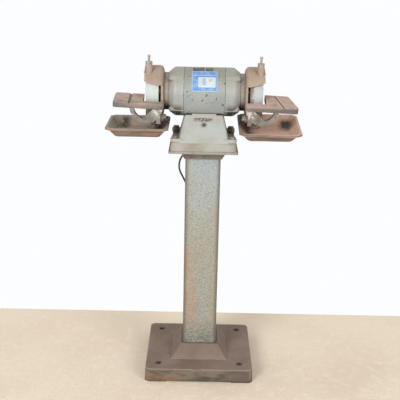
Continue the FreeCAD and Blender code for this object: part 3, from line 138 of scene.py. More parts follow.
def along(tree, axis, start, end):
    """A mask that rises from 0 at start to 1 at end along one axis, in metres."""
    place = tree.nodes.new("ShaderNodeTexCoord")
    split = tree.nodes.new("ShaderNodeSeparateXYZ")
    ramp = tree.nodes.new("ShaderNodeMapRange")
    ramp.inputs["From Min"].default_value = start
    ramp.inputs["From Max"].default_value = end
    tree.links.new(place.outputs["Object"], split.inputs[0])
    tree.links.new(split.outputs[axis], ramp.inputs["Value"])
    return ramp.outputs["Result"]


def both(tree, first, second):
    """Where two masks meet."""
    product = tree.nodes.new("ShaderNodeMath")
    product.operation = "MULTIPLY"
    tree.links.new(first, product.inputs[0])
    if isinstance(second, (int, float)):
        product.inputs[1].default_value = second
    else:
        tree.links.new(second, product.inputs[1])
    return product.outputs[0]


def over(tree, under, colour, mask):
    """One coat of colour over what is under it, where the mask is."""
    coat = tree.nodes.new("ShaderNodeMix")
    coat.data_type = "RGBA"
    tree.links.new(mask, coat.inputs["Factor"])
    for socket, value in ((coat.inputs[6], under), (coat.inputs[7], colour)):
        if isinstance(value, tuple):
            socket.default_value = (*value, 1)
        else:
            tree.links.new(value, socket)
    return coat.outputs[2]


def relief(tree, shader, mask, depth):
    """Raises the surface by depth metres where the mask is 1."""
    bump = tree.nodes.new("ShaderNodeBump")
    bump.inputs["Strength"].default_value = 1
    bump.inputs["Distance"].default_value = depth
    tree.links.new(mask, bump.inputs["Height"])
    tree.links.new(bump.outputs["Normal"], shader.inputs["Normal"])


concrete, tree, shader = new_finish("worn_concrete", 0.85)
shader.inputs["Specular IOR Level"].default_value = 0.1
sand = over(tree, (0.86, 0.74, 0.59), (0.79, 0.66, 0.51), blotches(tree, 0.35, 0.42, 0.66))
sand = over(tree, sand, (0.89, 0.78, 0.64), blotches(tree, 0.03, 0.50, 0.75))
sand = over(tree, sand, (0.72, 0.59, 0.44), both(tree, blotches(tree, 0.009, 0.54, 0.70), 0.6))
# Painted light: the floor is painted paler towards the back, making up for the lamps' fall-off there.
sand = over(tree, sand, (0.97, 0.83, 0.66), both(tree, along(tree, "Y", -0.15, 0.30), 0.45))
sheet = along(tree, "Y", SHEET_EDGE - 0.001, SHEET_EDGE + 0.001)
tree.links.new(sand, shader.inputs["Base Color"])
relief(tree, shader, blotches(tree, 0.006, 0.3, 0.7), 0.0004)
paper = tree.nodes.new("ShaderNodeEmission")
paper.inputs["Color"].default_value = (0.98, 0.985, 1, 1)
paper_diffuse = tree.nodes.new("ShaderNodeBsdfDiffuse")
paper_diffuse.inputs["Color"].default_value = (0.8, 0.8, 0.8, 1)
paper_mix = tree.nodes.new("ShaderNodeMixShader")
tree.links.new(seen_directly(tree), paper_mix.inputs["Fac"])
tree.links.new(paper_diffuse.outputs[0], paper_mix.inputs[1])
tree.links.new(paper.outputs[0], paper_mix.inputs[2])
floor_mix = tree.nodes.new("ShaderNodeMixShader")
tree.links.new(sheet, floor_mix.inputs["Fac"])
tree.links.new(shader.outputs[0], floor_mix.inputs[1])
tree.links.new(paper_mix.outputs[0], floor_mix.inputs[2])
tree.links.new(floor_mix.outputs[0], tree.nodes["Material Output"].inputs["Surface"])
floor_data.materials.append(concrete)

# Floor plate: a square iron casting with a sloped plinth, painted once and now brown
# with rust, its top front edge rubbed bright and partly lit by a painted highlight, its
# bottom edge painted dark as a contact shadow, and its foot stained orange by the floor.


def edge_ridges(tree, radius, low=0.02, high=0.12):
    """1 on ridges, found from how far the surface bends within radius: rubbed edges in most finishes, painted
    shade on edges that face down and, in part, a painted highlight on top rims.
    """
    soft = tree.nodes.new("ShaderNodeBevel")
    soft.samples = 6
    soft.inputs["Radius"].default_value = radius
    flat = tree.nodes.new("ShaderNodeNewGeometry")
    bend = tree.nodes.new("ShaderNodeVectorMath")
    bend.operation = "DOT_PRODUCT"
    levels = tree.nodes.new("ShaderNodeMapRange")
    levels.inputs["From Min"].default_value = 1 - low
    levels.inputs["From Max"].default_value = 1 - high
    tree.links.new(soft.outputs["Normal"], bend.inputs[0])
    tree.links.new(flat.outputs["Normal"], bend.inputs[1])
    tree.links.new(bend.outputs["Value"], levels.inputs["Value"])
    return levels.outputs["Result"]


def crevice_shade(tree, reach, strength):
    """Painted shade: rises to strength in the corners, within reach metres of another face, where darker
    colour stands in for shade.
    """
    shade = tree.nodes.new("ShaderNodeAmbientOcclusion")
    shade.samples = 8
    shade.inputs["Distance"].default_value = reach
    levels = tree.nodes.new("ShaderNodeMapRange")
    levels.inputs["From Min"].default_value = 0.85
    levels.inputs["From Max"].default_value = 0.40
    levels.inputs["To Max"].default_value = strength
    tree.links.new(shade.outputs["AO"], levels.inputs["Value"])
    return levels.outputs["Result"]


def coat(material, *nodes):
    """Puts a finish on solids that keep their own shape."""
    for name in nodes:
        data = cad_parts[name].data
        data.materials.clear()
        data.materials.append(material)


def around(tree, x, y, near, far):
    """1 within near metres of an upright line through x and y, fading to 0 at far."""
    place = tree.nodes.new("ShaderNodeTexCoord")
    flat = tree.nodes.new("ShaderNodeVectorMath")
    flat.operation = "MULTIPLY"
    flat.inputs[1].default_value = (1, 1, 0)
    gap = tree.nodes.new("ShaderNodeVectorMath")
    gap.operation = "DISTANCE"
    gap.inputs[1].default_value = (x, y, 0)
    levels = tree.nodes.new("ShaderNodeMapRange")
    levels.inputs["From Min"].default_value = far
    levels.inputs["From Max"].default_value = near
    tree.links.new(place.outputs["Object"], flat.inputs[0])
    tree.links.new(flat.outputs["Vector"], gap.inputs[0])
    tree.links.new(gap.outputs["Value"], levels.inputs["Value"])
    return levels.outputs["Result"]


HOLE_X = 0.132
HOLE_Y = 0.122
plate_finish, tree, shader = new_finish("rusted_plate", 0.72)
iron = over(tree, (0.190, 0.130, 0.094), (0.235, 0.170, 0.132), blotches(tree, 0.07, 0.40, 0.62))
iron = over(tree, iron, (0.165, 0.112, 0.085), both(tree, blotches(tree, 0.018, 0.52, 0.70), 0.6))
skirt = either(tree, along(tree, "Y", -0.1600, -0.1640), along(tree, "Y", 0.1600, 0.1640))
skirt_ends = either(tree, along(tree, "X", 0.1690, 0.1740), along(tree, "X", -0.1690, -0.1740))
skirt = either(tree, skirt, skirt_ends)
skirt = both(tree, skirt, along(tree, "Z", 0.044, 0.038))
iron = over(tree, iron, (0.160, 0.140, 0.100), skirt)
bare_skirt = both(tree, skirt, blotches(tree, 0.022, 0.45, 0.62, stretch=(0.5, 0.5, 1.5)))
iron = over(tree, iron, (0.070, 0.060, 0.048), bare_skirt)
right_skirt = both(tree, skirt, along(tree, "X", 0.05, 0.14))
iron = over(tree, iron, (0.110, 0.080, 0.062), both(tree, right_skirt, 0.8))
# Painted shadow: the bottom of the plate is painted dark where it meets the floor.
iron = over(tree, iron, (0.060, 0.050, 0.042), both(tree, along(tree, "Z", 0.010, 0.002), 0.7))
foot_stain = both(tree, along(tree, "Z", 0.034, 0.004), along(tree, "X", -0.02, -0.14))
iron = over(tree, iron, (0.300, 0.135, 0.055), both(tree, foot_stain, blotches(tree, 0.03, 0.32, 0.55)))
# Part wear, part painted highlight: the top edges are painted pale.
edge = both(tree, edge_ridges(tree, 0.004), blotches(tree, 0.03, 0.34, 0.50))
rim = both(tree, along(tree, "Z", 0.036, 0.043), along(tree, "Z", 0.050, 0.046))
iron = over(tree, iron, (0.420, 0.370, 0.310), both(tree, edge, rim))
iron = over(tree, iron, (0.170, 0.122, 0.098), both(tree, along(tree, "Z", 0.050, 0.058), 0.45))
for hole_x in (HOLE_X, -HOLE_X):
    for hole_y in (HOLE_Y, -HOLE_Y):
        washer_mark = both(tree, around(tree, hole_x, hole_y, 0.0085, 0.0135), 0.85)
        iron = over(tree, iron, (0.050, 0.034, 0.028), washer_mark)
# Painted shade darkens the plate's corners.
iron = over(tree, iron, (0.082, 0.061, 0.045), crevice_shade(tree, 0.03, 0.6))
tree.links.new(iron, shader.inputs["Base Color"])
relief(tree, shader, blotches(tree, 0.0035, 0.3, 0.7, detail=6), 0.0005)
coat(plate_finish, "floor_base")

# Column: a square tube with rounded corners in hammered grey-green paint. The paint is
# bluish at the top, beige lower down, and chipped to a fine speckle; a dark patch of oil
# lies above the plinth, and painted shade darkens the rounded corners. The iron collar under
# the head, painted dark as shade, and a tie rod inside hold it.
column_finish, tree, shader = new_finish("hammered_column", 0.5)
beige = blotches(tree, 0.10, 0.40, 0.62, stretch=(1, 1, 0.5))
green = over(tree, (0.329, 0.343, 0.308), (0.280, 0.274, 0.217), beige)
green = over(tree, green, (0.322, 0.288, 0.217), along(tree, "Z", 0.55, 0.30))
green = over(tree, green, (0.332, 0.388, 0.420), both(tree, along(tree, "Z", 0.52, 0.68), 0.9))
handled = both(tree, along(tree, "X", -0.022, -0.044), blotches(tree, 0.03, 0.30, 0.55, stretch=(1, 1, 0.4)))
green = over(tree, green, (0.340, 0.325, 0.245), both(tree, handled, 0.7))
teal = both(tree, along(tree, "X", -0.016, 0.002), along(tree, "X", 0.034, 0.018))
teal = both(tree, teal, both(tree, along(tree, "Z", 0.10, 0.18), along(tree, "Z", 0.42, 0.28)))
green = over(tree, green, (0.262, 0.325, 0.312), both(tree, teal, blotches(tree, 0.009, 0.42, 0.56)))
for middle, inner, outer, low, high in (
        (0.370, -0.026, -0.044, 0.30, 0.44),
        (0.510, 0.032, 0.046, 0.43, 0.59),
        (0.230, -0.006, -0.030, 0.12, 0.33)):
    streak = both(tree, along(tree, "Z", low, middle), along(tree, "Z", high, middle))
    streak = both(tree, streak, along(tree, "X", inner, outer))
    streak = both(tree, streak, blotches(tree, 0.02, 0.28, 0.55, stretch=(1, 1, 0.4)))
    green = over(tree, green, (0.400, 0.228, 0.145), both(tree, streak, 0.95))
oil = both(tree, along(tree, "Z", 0.175, 0.100), blotches(tree, 0.012, 0.34, 0.54, stretch=(0.7, 0.7, 1.4)))
green = over(tree, green, (0.100, 0.122, 0.118), both(tree, oil, 0.8))
green = over(tree, green, (0.215, 0.205, 0.175), both(tree, blotches(tree, 0.007, 0.52, 0.64), 0.45))
green = over(tree, green, (0.462, 0.482, 0.456), blotches(tree, 0.0032, 0.57, 0.66))
green = over(tree, green, (0.168, 0.157, 0.129), blotches(tree, 0.0036, 0.60, 0.68))
# Painted shade: the rounded corners are painted near black.
across = either(tree, along(tree, "X", 0.0410, 0.0530), along(tree, "X", -0.0410, -0.0530))
deep = either(tree, along(tree, "Y", 0.0410, 0.0530), along(tree, "Y", -0.0410, -0.0530))
corner = both(tree, across, deep)
green = over(tree, green, (0.110, 0.102, 0.088), both(tree, corner, 0.85))
# Painted shade darkens the column's corners and recesses.
green = over(tree, green, (0.119, 0.102, 0.084), crevice_shade(tree, 0.03, 0.7))
tree.links.new(green, shader.inputs["Base Color"])
relief(tree, shader, blotches(tree, 0.004, 0.3, 0.7), 0.0004)
coat(column_finish, "column")

# Painted shade: the collar sits in shadow under the head and is painted dark for it; its edges are rubbed
# lighter.
collar_finish, tree, shader = new_finish("shaded_collar", 0.6)
dull = over(tree, (0.216, 0.197, 0.173), (0.144, 0.124, 0.112), blotches(tree, 0.03, 0.40, 0.60))
dull = over(tree, dull, (0.302, 0.292, 0.270), edge_ridges(tree, 0.003))
tree.links.new(dull, shader.inputs["Base Color"])
relief(tree, shader, blotches(tree, 0.004, 0.3, 0.7), 0.0004)
coat(collar_finish, "column_collar")

# Steel fasteners: rods, bolts, studs and nuts turned from bar, once bright, now dull and
# brown in the corners.
steel_finish, tree, shader = new_finish("dull_steel", 0.45, metallic=0.7)
grey = over(tree, (0.40, 0.37, 0.35), (0.26, 0.20, 0.16), blotches(tree, 0.006, 0.42, 0.62))
grey = over(tree, grey, (0.58, 0.56, 0.54), edge_ridges(tree, 0.001))
tree.links.new(grey, shader.inputs["Base Color"])
relief(tree, shader, blotches(tree, 0.0012, 0.3, 0.7), 0.0001)
coat(steel_finish, "column_tie_rod", "tie_bolts", "guard_screws", "cover_screws", "guard_set_screws",
     "shield_nuts", "shield_studs", "left_tray_bolts", "right_tray_bolts", "left_rest_clamp",
     "right_rest_clamp", "left_rest_studs", "right_rest_studs")

# Top plate: a cast head with a sloped skirt that carries the motor stand. Its paint is
# beige with handling, browner at the corners and along the lower edge.
head_finish, tree, shader = new_finish("beige_head_plate", 0.55)
beige = over(tree, (0.366, 0.356, 0.324), (0.276, 0.248, 0.209), blotches(tree, 0.05, 0.42, 0.64))
for inside, outside in ((0.075, 0.105), (-0.085, -0.106)):
    handled_end = both(tree, along(tree, "X", inside, outside), blotches(tree, 0.02, 0.35, 0.6))
    beige = over(tree, beige, (0.228, 0.162, 0.127), handled_end)
beige = over(tree, beige, (0.207, 0.187, 0.156), both(tree, along(tree, "Z", 0.748, 0.743), 0.7))
rubbed = both(tree, edge_ridges(tree, 0.003), blotches(tree, 0.012, 0.40, 0.60))
beige = over(tree, beige, (0.469, 0.461, 0.432), rubbed)
beige = over(tree, beige, (0.172, 0.158, 0.142), blotches(tree, 0.003, 0.64, 0.72))
# Painted shade darkens the head plate's corners.
beige = over(tree, beige, (0.103, 0.083, 0.067), crevice_shade(tree, 0.025, 0.8))
tree.links.new(beige, shader.inputs["Base Color"])
relief(tree, shader, blotches(tree, 0.004, 0.3, 0.7), 0.0004)
coat(head_finish, "top_plate")

# Motor stand: a tapered box casting under the motor, in pale grey-green paint. High on its
# front a blank patch is worn brown; its flanks are painted darker as shade, the left more than
# the right, and painted shade darkens the corners round its ears, which four rusted bolts hold
# to the top plate.
stand_finish, tree, shader = new_finish("pale_stand_paint", 0.5)
pale = over(tree, (0.392, 0.413, 0.394), (0.360, 0.354, 0.312), blotches(tree, 0.06, 0.42, 0.64))
pale = over(tree, pale, (0.432, 0.417, 0.382), both(tree, along(tree, "Z", 0.838, 0.852), 0.7))
patch = both(tree, along(tree, "X", -0.034, -0.026), along(tree, "X", 0.030, 0.022))
patch = both(tree, patch, both(tree, along(tree, "Z", 0.832, 0.835), along(tree, "Z", 0.846, 0.843)))
patch = both(tree, patch, along(tree, "Y", 0, -0.02))
pale = over(tree, pale, (0.125, 0.100, 0.084), both(tree, patch, blotches(tree, 0.006, 0.37, 0.50)))
# Painted shade on the flanks, darker on the left than on the right.
for flank_side, flank_shade in ((1, (0.216, 0.186, 0.164)), (-1, (0.173, 0.149, 0.140))):
    flank = along(tree, "X", 0.046 * flank_side, 0.066 * flank_side)
    pale = over(tree, pale, flank_shade, both(tree, flank, along(tree, "Y", -0.05, -0.02)))
rubbed = both(tree, edge_ridges(tree, 0.004), blotches(tree, 0.015, 0.40, 0.58))
pale = over(tree, pale, (0.446, 0.372, 0.312), rubbed)
pale = over(tree, pale, (0.216, 0.201, 0.172), blotches(tree, 0.003, 0.66, 0.73))
# Painted shade darkens the corners round the stand's ears.
pale = over(tree, pale, (0.115, 0.093, 0.078), crevice_shade(tree, 0.02, 0.8))
tree.links.new(pale, shader.inputs["Base Color"])
relief(tree, shader, blotches(tree, 0.003, 0.3, 0.7), 0.0003)
coat(stand_finish, "motor_stand")

bolt_finish, tree, shader = new_finish("rusted_bolts", 0.65)
rust = over(tree, (0.300, 0.240, 0.195), (0.195, 0.130, 0.095), blotches(tree, 0.008, 0.40, 0.60))
rubbed = both(tree, edge_ridges(tree, 0.0015), blotches(tree, 0.006, 0.40, 0.60))
rust = over(tree, rust, (0.48, 0.42, 0.37), rubbed)
tree.links.new(rust, shader.inputs["Base Color"])
relief(tree, shader, blotches(tree, 0.0015, 0.3, 0.7), 0.0002)
coat(bolt_finish, "stand_bolts")

# Motor: a rolled shell between two cast end bells, all in hammered grey-green paint with
# small dark chips, painted shade tinted like dust on the upper half, painted shade under the
# bells, and a paler right end on the shell that is part dust, part painted light.
motor_finish, tree, shader = new_finish("hammered_motor_paint", 0.38)
drab = over(tree, (0.258, 0.302, 0.306), (0.308, 0.336, 0.328), blotches(tree, 0.05, 0.42, 0.62))
# Painted shade tinted like dust: the top of the shell is painted darker and browner.
drab = over(tree, drab, (0.250, 0.234, 0.182), both(tree, along(tree, "Z", 0.932, 0.976), 0.9))
# Part dust, part painted light: the right end of the shell is painted paler in patches.
dust_and_light_end = both(tree, along(tree, "X", 0.058, 0.075), blotches(tree, 0.03, 0.35, 0.60))
drab = over(tree, drab, (0.376, 0.370, 0.352), dust_and_light_end)
drab = over(tree, drab, (0.350, 0.392, 0.400), both(tree, along(tree, "Z", 0.895, 0.858), 0.8))
drab = over(tree, drab, (0.056, 0.051, 0.046), blotches(tree, 0.011, 0.665, 0.695, detail=2))
rubbed = both(tree, edge_ridges(tree, 0.003), blotches(tree, 0.012, 0.42, 0.62))
drab = over(tree, drab, (0.444, 0.476, 0.473), rubbed)
drab = over(tree, drab, (0.385, 0.421, 0.415), blotches(tree, 0.0045, 0.60, 0.70))
seam = either(tree, along(tree, "X", 0.0612, 0.0621), along(tree, "X", -0.0612, -0.0621))
drab = over(tree, drab, (0.052, 0.047, 0.042), both(tree, seam, 0.85))
# Painted shade darkens the shell's corners.
drab = over(tree, drab, (0.074, 0.066, 0.058), crevice_shade(tree, 0.014, 0.75))
tree.links.new(drab, shader.inputs["Base Color"])
relief(tree, shader, blotches(tree, 0.004, 0.3, 0.7), 0.0004)
coat(motor_finish, "motor_shell")


def facing_up(tree, low, high):
    """0 where a surface leans away from the sky, 1 where it faces it."""
    surface = tree.nodes.new("ShaderNodeNewGeometry")
    split = tree.nodes.new("ShaderNodeSeparateXYZ")
    levels = tree.nodes.new("ShaderNodeMapRange")
    levels.inputs["From Min"].default_value = low
    levels.inputs["From Max"].default_value = high
    tree.links.new(surface.outputs["Normal"], split.inputs[0])
    tree.links.new(split.outputs["Z"], levels.inputs["Value"])
    return levels.outputs["Result"]


bell_finish, tree, shader = new_finish("dusty_bell_paint", 0.42)
drab = over(tree, (0.312, 0.346, 0.334), (0.376, 0.376, 0.350), blotches(tree, 0.04, 0.42, 0.62))
# Painted shade tinted like dust: the top of the bells is painted darker.
drab = over(tree, drab, (0.285, 0.270, 0.220), both(tree, along(tree, "Z", 0.932, 0.976), 0.8))
# Painted shade: the lower part of the bells is painted darker.
drab = over(tree, drab, (0.245, 0.270, 0.262), both(tree, along(tree, "Z", 0.89, 0.85), 0.7))
for bell_side in (1, -1):
    neck = along(tree, "X", 0.094 * bell_side, 0.112 * bell_side)
    drab = over(tree, drab, (0.255, 0.220, 0.190), both(tree, neck, blotches(tree, 0.02, 0.30, 0.60)))
    # Painted shade: the faces under each bell that turn to the floor are painted near black.
    shade_under_bell = both(tree, along(tree, "X", 0.062 * bell_side, 0.074 * bell_side), facing_up(tree, -0.35, -0.70))
    drab = over(tree, drab, (0.010, 0.010, 0.009), both(tree, shade_under_bell, 0.95))
rubbed = both(tree, edge_ridges(tree, 0.003), blotches(tree, 0.010, 0.42, 0.62))
drab = over(tree, drab, (0.527, 0.537, 0.532), rubbed)
drab = over(tree, drab, (0.119, 0.106, 0.095), blotches(tree, 0.006, 0.67, 0.72))
# Painted shade darkens the bells' corners.
drab = over(tree, drab, (0.076, 0.066, 0.057), crevice_shade(tree, 0.02, 0.85))
tree.links.new(drab, shader.inputs["Base Color"])
relief(tree, shader, blotches(tree, 0.004, 0.3, 0.7), 0.0004)
coat(bell_finish, "left_end_bell", "right_end_bell")

# Rating plate and the narrow strip above it: printed foil stuck round the shell, left blank.
# The plate is blue with a pale border and a white panel of three bare fields, all scuffed.
SHELL_RADIUS = 0.0745
SPINDLE_HEIGHT = 0.917


def foil(name, left, right, upper, lower, lift, finish, corner=0.0015):
    """A thin sheet bent round the shell between two angles from its top, with rounded corners."""
    mesh = bmesh.new()
    radius = SHELL_RADIUS + lift
    tall = math.radians(lower - upper) * radius
    outline = []
    for cx, cy, start in ((right - corner, corner, -90), (right - corner, tall - corner, 0),
                          (left + corner, tall - corner, 90), (left + corner, corner, 180)):
        for step in range(5):
            angle = math.radians(start + 22.5 * step)
            outline.append((cx + corner * math.cos(angle), cy + corner * math.sin(angle)))
    mesh.faces.new([mesh.verts.new((x, y, 0)) for x, y in outline])
    for cut in range(1, 24):
        geometry = mesh.verts[:] + mesh.edges[:] + mesh.faces[:]
        bmesh.ops.bisect_plane(mesh, geom=geometry, plane_co=(0, tall * cut / 24, 0), plane_no=(0, 1, 0))
    rim = bmesh.ops.extrude_face_region(mesh, geom=mesh.faces[:])
    for vert in rim["geom"]:
        if isinstance(vert, bmesh.types.BMVert):
            vert.co.z = -0.0004
    for vert in mesh.verts:
        angle = math.radians(upper) + vert.co.y / radius
        reach = radius + vert.co.z
        vert.co = (vert.co.x, -reach * math.sin(angle), SPINDLE_HEIGHT + reach * math.cos(angle))
    bmesh.ops.recalc_face_normals(mesh, faces=mesh.faces)
    data = bpy.data.meshes.new(name)
    mesh.to_mesh(data)
    mesh.free()
    piece = bpy.data.objects.new(name, data)
    scene.collection.objects.link(piece)
    data.materials.append(finish)
    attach(piece, "pedestal")
    return piece


def printed(name, ink, faded):
    """Printed foil: flat ink, faded in patches, with scuffs to the bare metal."""
    material, tree, shader = new_finish(name, 0.35)
    colour = over(tree, ink, faded, blotches(tree, 0.014, 0.40, 0.62))
    colour = over(tree, colour, (0.60, 0.62, 0.62), blotches(tree, 0.004, 0.66, 0.74))
    tree.links.new(colour, shader.inputs["Base Color"])
    relief(tree, shader, blotches(tree, 0.003, 0.3, 0.7), 0.00005)
    return material


pale_ink = printed("pale_border_ink", (0.533, 0.602, 0.669), (0.430, 0.516, 0.616))
blue_ink = printed("blue_ink", (0.112, 0.249, 0.546), (0.206, 0.361, 0.634))
white_ink = printed("white_panel_ink", (0.57, 0.63, 0.68), (0.49, 0.57, 0.63))
grey_ink = printed("grey_field_ink", (0.258, 0.378, 0.493), (0.344, 0.464, 0.563))
pink_ink = printed("pink_tint_ink", (0.60, 0.47, 0.50), (0.56, 0.52, 0.56))
amber_ink = printed("amber_mark_ink", (0.60, 0.40, 0.16), (0.58, 0.48, 0.34))
black_ink = printed("black_strip_ink", (0.030, 0.030, 0.035), (0.103, 0.095, 0.097))
foil("plate_border", -0.0385, 0.0375, 27.2, 81.0, 0.0005, pale_ink)
foil("plate_field", -0.0370, 0.0360, 28.4, 79.8, 0.0008, blue_ink)
foil("plate_rule", -0.0345, 0.0340, 40.6, 41.8, 0.0010, pale_ink, 0.0004)
foil("plate_panel", -0.0195, 0.0325, 46.6, 71.5, 0.0010, white_ink)
foil("plate_panel_field", -0.0070, 0.0035, 50.0, 66.5, 0.0012, grey_ink)
foil("plate_panel_tint", -0.0175, -0.0095, 52.0, 67.5, 0.0012, pink_ink)
foil("plate_panel_mark", 0.0120, 0.0215, 51.0, 58.0, 0.0012, amber_ink)
foil("strip_left", -0.0355, -0.0010, 9.0, 25.5, 0.0006, black_ink)
foil("strip_right", 0.0030, 0.0250, 9.0, 25.5, 0.0006, black_ink)

# Inside the motor: a stack of sheet-steel rings wound with varnished copper, the rotor's
# stack on the shaft, and a shielded ball bearing in each bell.
core_finish, tree, shader = new_finish("stacked_sheets", 0.4, metallic=0.9)
sheets = tree.nodes.new("ShaderNodeTexWave")
sheets.wave_type = "BANDS"
sheets.bands_direction = "X"
sheets.inputs["Scale"].default_value = 300
place = tree.nodes.new("ShaderNodeTexCoord")
tree.links.new(place.outputs["Object"], sheets.inputs["Vector"])
laminated = over(tree, (0.20, 0.20, 0.21), (0.34, 0.34, 0.36), sheets.outputs["Fac"])
tree.links.new(laminated, shader.inputs["Base Color"])
relief(tree, shader, sheets.outputs["Fac"], 0.0002)
coat(core_finish, "stator_core", "rotor_core")

copper_finish, tree, shader = new_finish("varnished_copper", 0.3, metallic=0.8)
wires = tree.nodes.new("ShaderNodeTexWave")
wires.wave_type = "RINGS"
wires.rings_direction = "X"
wires.inputs["Scale"].default_value = 160
wires.inputs["Distortion"].default_value = 2
place = tree.nodes.new("ShaderNodeTexCoord")
tree.links.new(place.outputs["Object"], wires.inputs["Vector"])
copper = over(tree, (0.30, 0.12, 0.05), (0.62, 0.30, 0.13), wires.outputs["Fac"])
tree.links.new(copper, shader.inputs["Base Color"])
relief(tree, shader, wires.outputs["Fac"], 0.0005)
coat(copper_finish, "end_windings")

ground_finish, tree, shader = new_finish("ground_steel", 0.22, metallic=1.0)
smeared = blotches(tree, 0.004, 0.45, 0.65, stretch=(6, 1, 1))
tree.links.new(over(tree, (0.58, 0.58, 0.59), (0.44, 0.43, 0.42), smeared), shader.inputs["Base Color"])
coat(ground_finish, "bearing_inner_rings", "bearing_outer_rings")

# Spindle: a turned shaft with a flange each side of each wheel and a nut at each end, plain
# steel darkened by dust.
turned_finish, tree, shader = new_finish("turned_steel", 0.36, metallic=0.85)
bright = over(tree, (0.46, 0.45, 0.43), (0.30, 0.26, 0.22), blotches(tree, 0.008, 0.42, 0.64))
bright = over(tree, bright, (0.62, 0.61, 0.60), edge_ridges(tree, 0.0012))
tree.links.new(bright, shader.inputs["Base Color"])
relief(tree, shader, blotches(tree, 0.0008, 0.3, 0.7, stretch=(12, 1, 1)), 0.00006)
coat(turned_finish, "spindle_shaft", "left_inner_flange", "right_inner_flange", "left_outer_flange",
     "right_outer_flange", "left_spindle_nut", "right_spindle_nut")

# Wheels: vitrified abrasive, moulded and dressed. The left one is a clean greenish white; the
# right one is greyer, loaded with metal and brown along its worn inner edge.


def abrasive(name, grit, dust):
    """Bonded stone: dust in patches over the grit, with dark pits and bright grains."""
    material, tree, shader = new_finish(name, 0.9)
    stone = over(tree, grit, dust, blotches(tree, 0.016, 0.45, 0.70))
    stone = over(tree, stone, tuple(c * 0.55 for c in grit), blotches(tree, 0.0014, 0.62, 0.70))
    stone = over(tree, stone, tuple(min(c * 1.2, 0.9) for c in grit), blotches(tree, 0.0012, 0.63, 0.70))
    relief(tree, shader, blotches(tree, 0.0012, 0.3, 0.7), 0.0004)
    return material, tree, shader, stone


left_grit, tree, shader, stone = abrasive("greenish_grit", (0.554, 0.613, 0.590), (0.504, 0.531, 0.504))
tree.links.new(stone, shader.inputs["Base Color"])
coat(left_grit, "left_wheel")

right_grit, tree, shader, stone = abrasive("grey_grit", (0.480, 0.500, 0.526), (0.384, 0.382, 0.387))
worn = both(tree, along(tree, "X", 0.151, 0.146), blotches(tree, 0.02, 0.25, 0.45))
stone = over(tree, stone, (0.288, 0.244, 0.225), worn)
tree.links.new(stone, shader.inputs["Base Color"])
coat(right_grit, "right_wheel")

# Guards: iron castings round the wheels, each with a round lip at the front, a boss for the
# eye-shield stud and a thin outer cover. They are brown with rust over what is left of grey paint.
guard_finish, tree, shader = new_finish("rusted_guard", 0.68)
tan = over(tree, (0.387, 0.275, 0.199), (0.324, 0.246, 0.195), blotches(tree, 0.03, 0.40, 0.62))
old_paint = both(tree, along(tree, "Z", 0.905, 0.985), blotches(tree, 0.04, 0.46, 0.66))
tan = over(tree, tan, (0.360, 0.316, 0.273), old_paint)
tan = over(tree, tan, (0.378, 0.201, 0.121), blotches(tree, 0.014, 0.58, 0.70))
tan = over(tree, tan, (0.180, 0.123, 0.090), blotches(tree, 0.005, 0.64, 0.72))
rubbed = both(tree, edge_ridges(tree, 0.003), blotches(tree, 0.012, 0.42, 0.60))
tan = over(tree, tan, (0.504, 0.402, 0.320), rubbed)
tan = over(tree, tan, (0.135, 0.094, 0.074), both(tree, along(tree, "Z", 0.872, 0.846), 0.75))
neck = both(tree, along(tree, "X", 0.1250, 0.1225), along(tree, "X", -0.1250, -0.1225))
tan = over(tree, tan, (0.335, 0.320, 0.280), both(tree, neck, 0.8))
# Painted shade: the underside of each guard's neck is painted near black.
tan = over(tree, tan, (0.015, 0.014, 0.012), both(tree, neck, facing_up(tree, -0.30, -0.75)))
# Painted shade darkens the guards' corners.
tan = over(tree, tan, (0.090, 0.057, 0.043), crevice_shade(tree, 0.02, 0.8))
tree.links.new(tan, shader.inputs["Base Color"])
relief(tree, shader, blotches(tree, 0.0022, 0.3, 0.7, detail=6), 0.0004)
coat(guard_finish, "left_guard", "right_guard", "left_guard_cover", "right_guard_cover")

# Tool rests: a cast table with a cross groove, held by two studs on a half-ring yoke that
# clamps to the guard. The tables are red-brown with rust and rubbed paler on top; the yokes
# are grey, chipped to light metal.
table_finish, tree, shader = new_finish("rusted_table", 0.62)
red = over(tree, (0.42, 0.285, 0.225), (0.355, 0.215, 0.160), blotches(tree, 0.028, 0.40, 0.60))
red = over(tree, red, (0.50, 0.385, 0.33), blotches(tree, 0.012, 0.55, 0.70))
rubbed = both(tree, edge_ridges(tree, 0.0035), blotches(tree, 0.014, 0.38, 0.56))
red = over(tree, red, (0.56, 0.46, 0.41), rubbed)
red = over(tree, red, (0.23, 0.175, 0.15), blotches(tree, 0.004, 0.64, 0.72))
rubbed_top = both(tree, facing_up(tree, 0.80, 0.95), blotches(tree, 0.02, 0.34, 0.64))
red = over(tree, red, (0.50, 0.355, 0.290), rubbed_top)
front = both(tree, along(tree, "Y", -0.0750, -0.0870), along(tree, "X", -0.1, -0.12))
red = over(tree, red, (0.215, 0.195, 0.170), both(tree, front, blotches(tree, 0.03, 0.28, 0.55)))
right_front = both(tree, facing_up(tree, 0.75, 0.45), along(tree, "X", 0.1, 0.12))
red = over(tree, red, (0.335, 0.282, 0.240), both(tree, right_front, blotches(tree, 0.03, 0.20, 0.45)))
lower_front = both(tree, along(tree, "Z", 0.890, 0.880), facing_up(tree, 0.50, 0.20))
lower_front = both(tree, lower_front, blotches(tree, 0.03, 0.25, 0.50, stretch=(0.5, 1, 1)))
red = over(tree, red, (0.145, 0.128, 0.113), lower_front)
for table_side in (1, -1):
    table_end = along(tree, "X", 0.225 * table_side, 0.266 * table_side)
    table_end = both(tree, table_end, facing_up(tree, 0.60, 0.30))
    red = over(tree, red, (0.105, 0.105, 0.108), both(tree, table_end, 0.75))
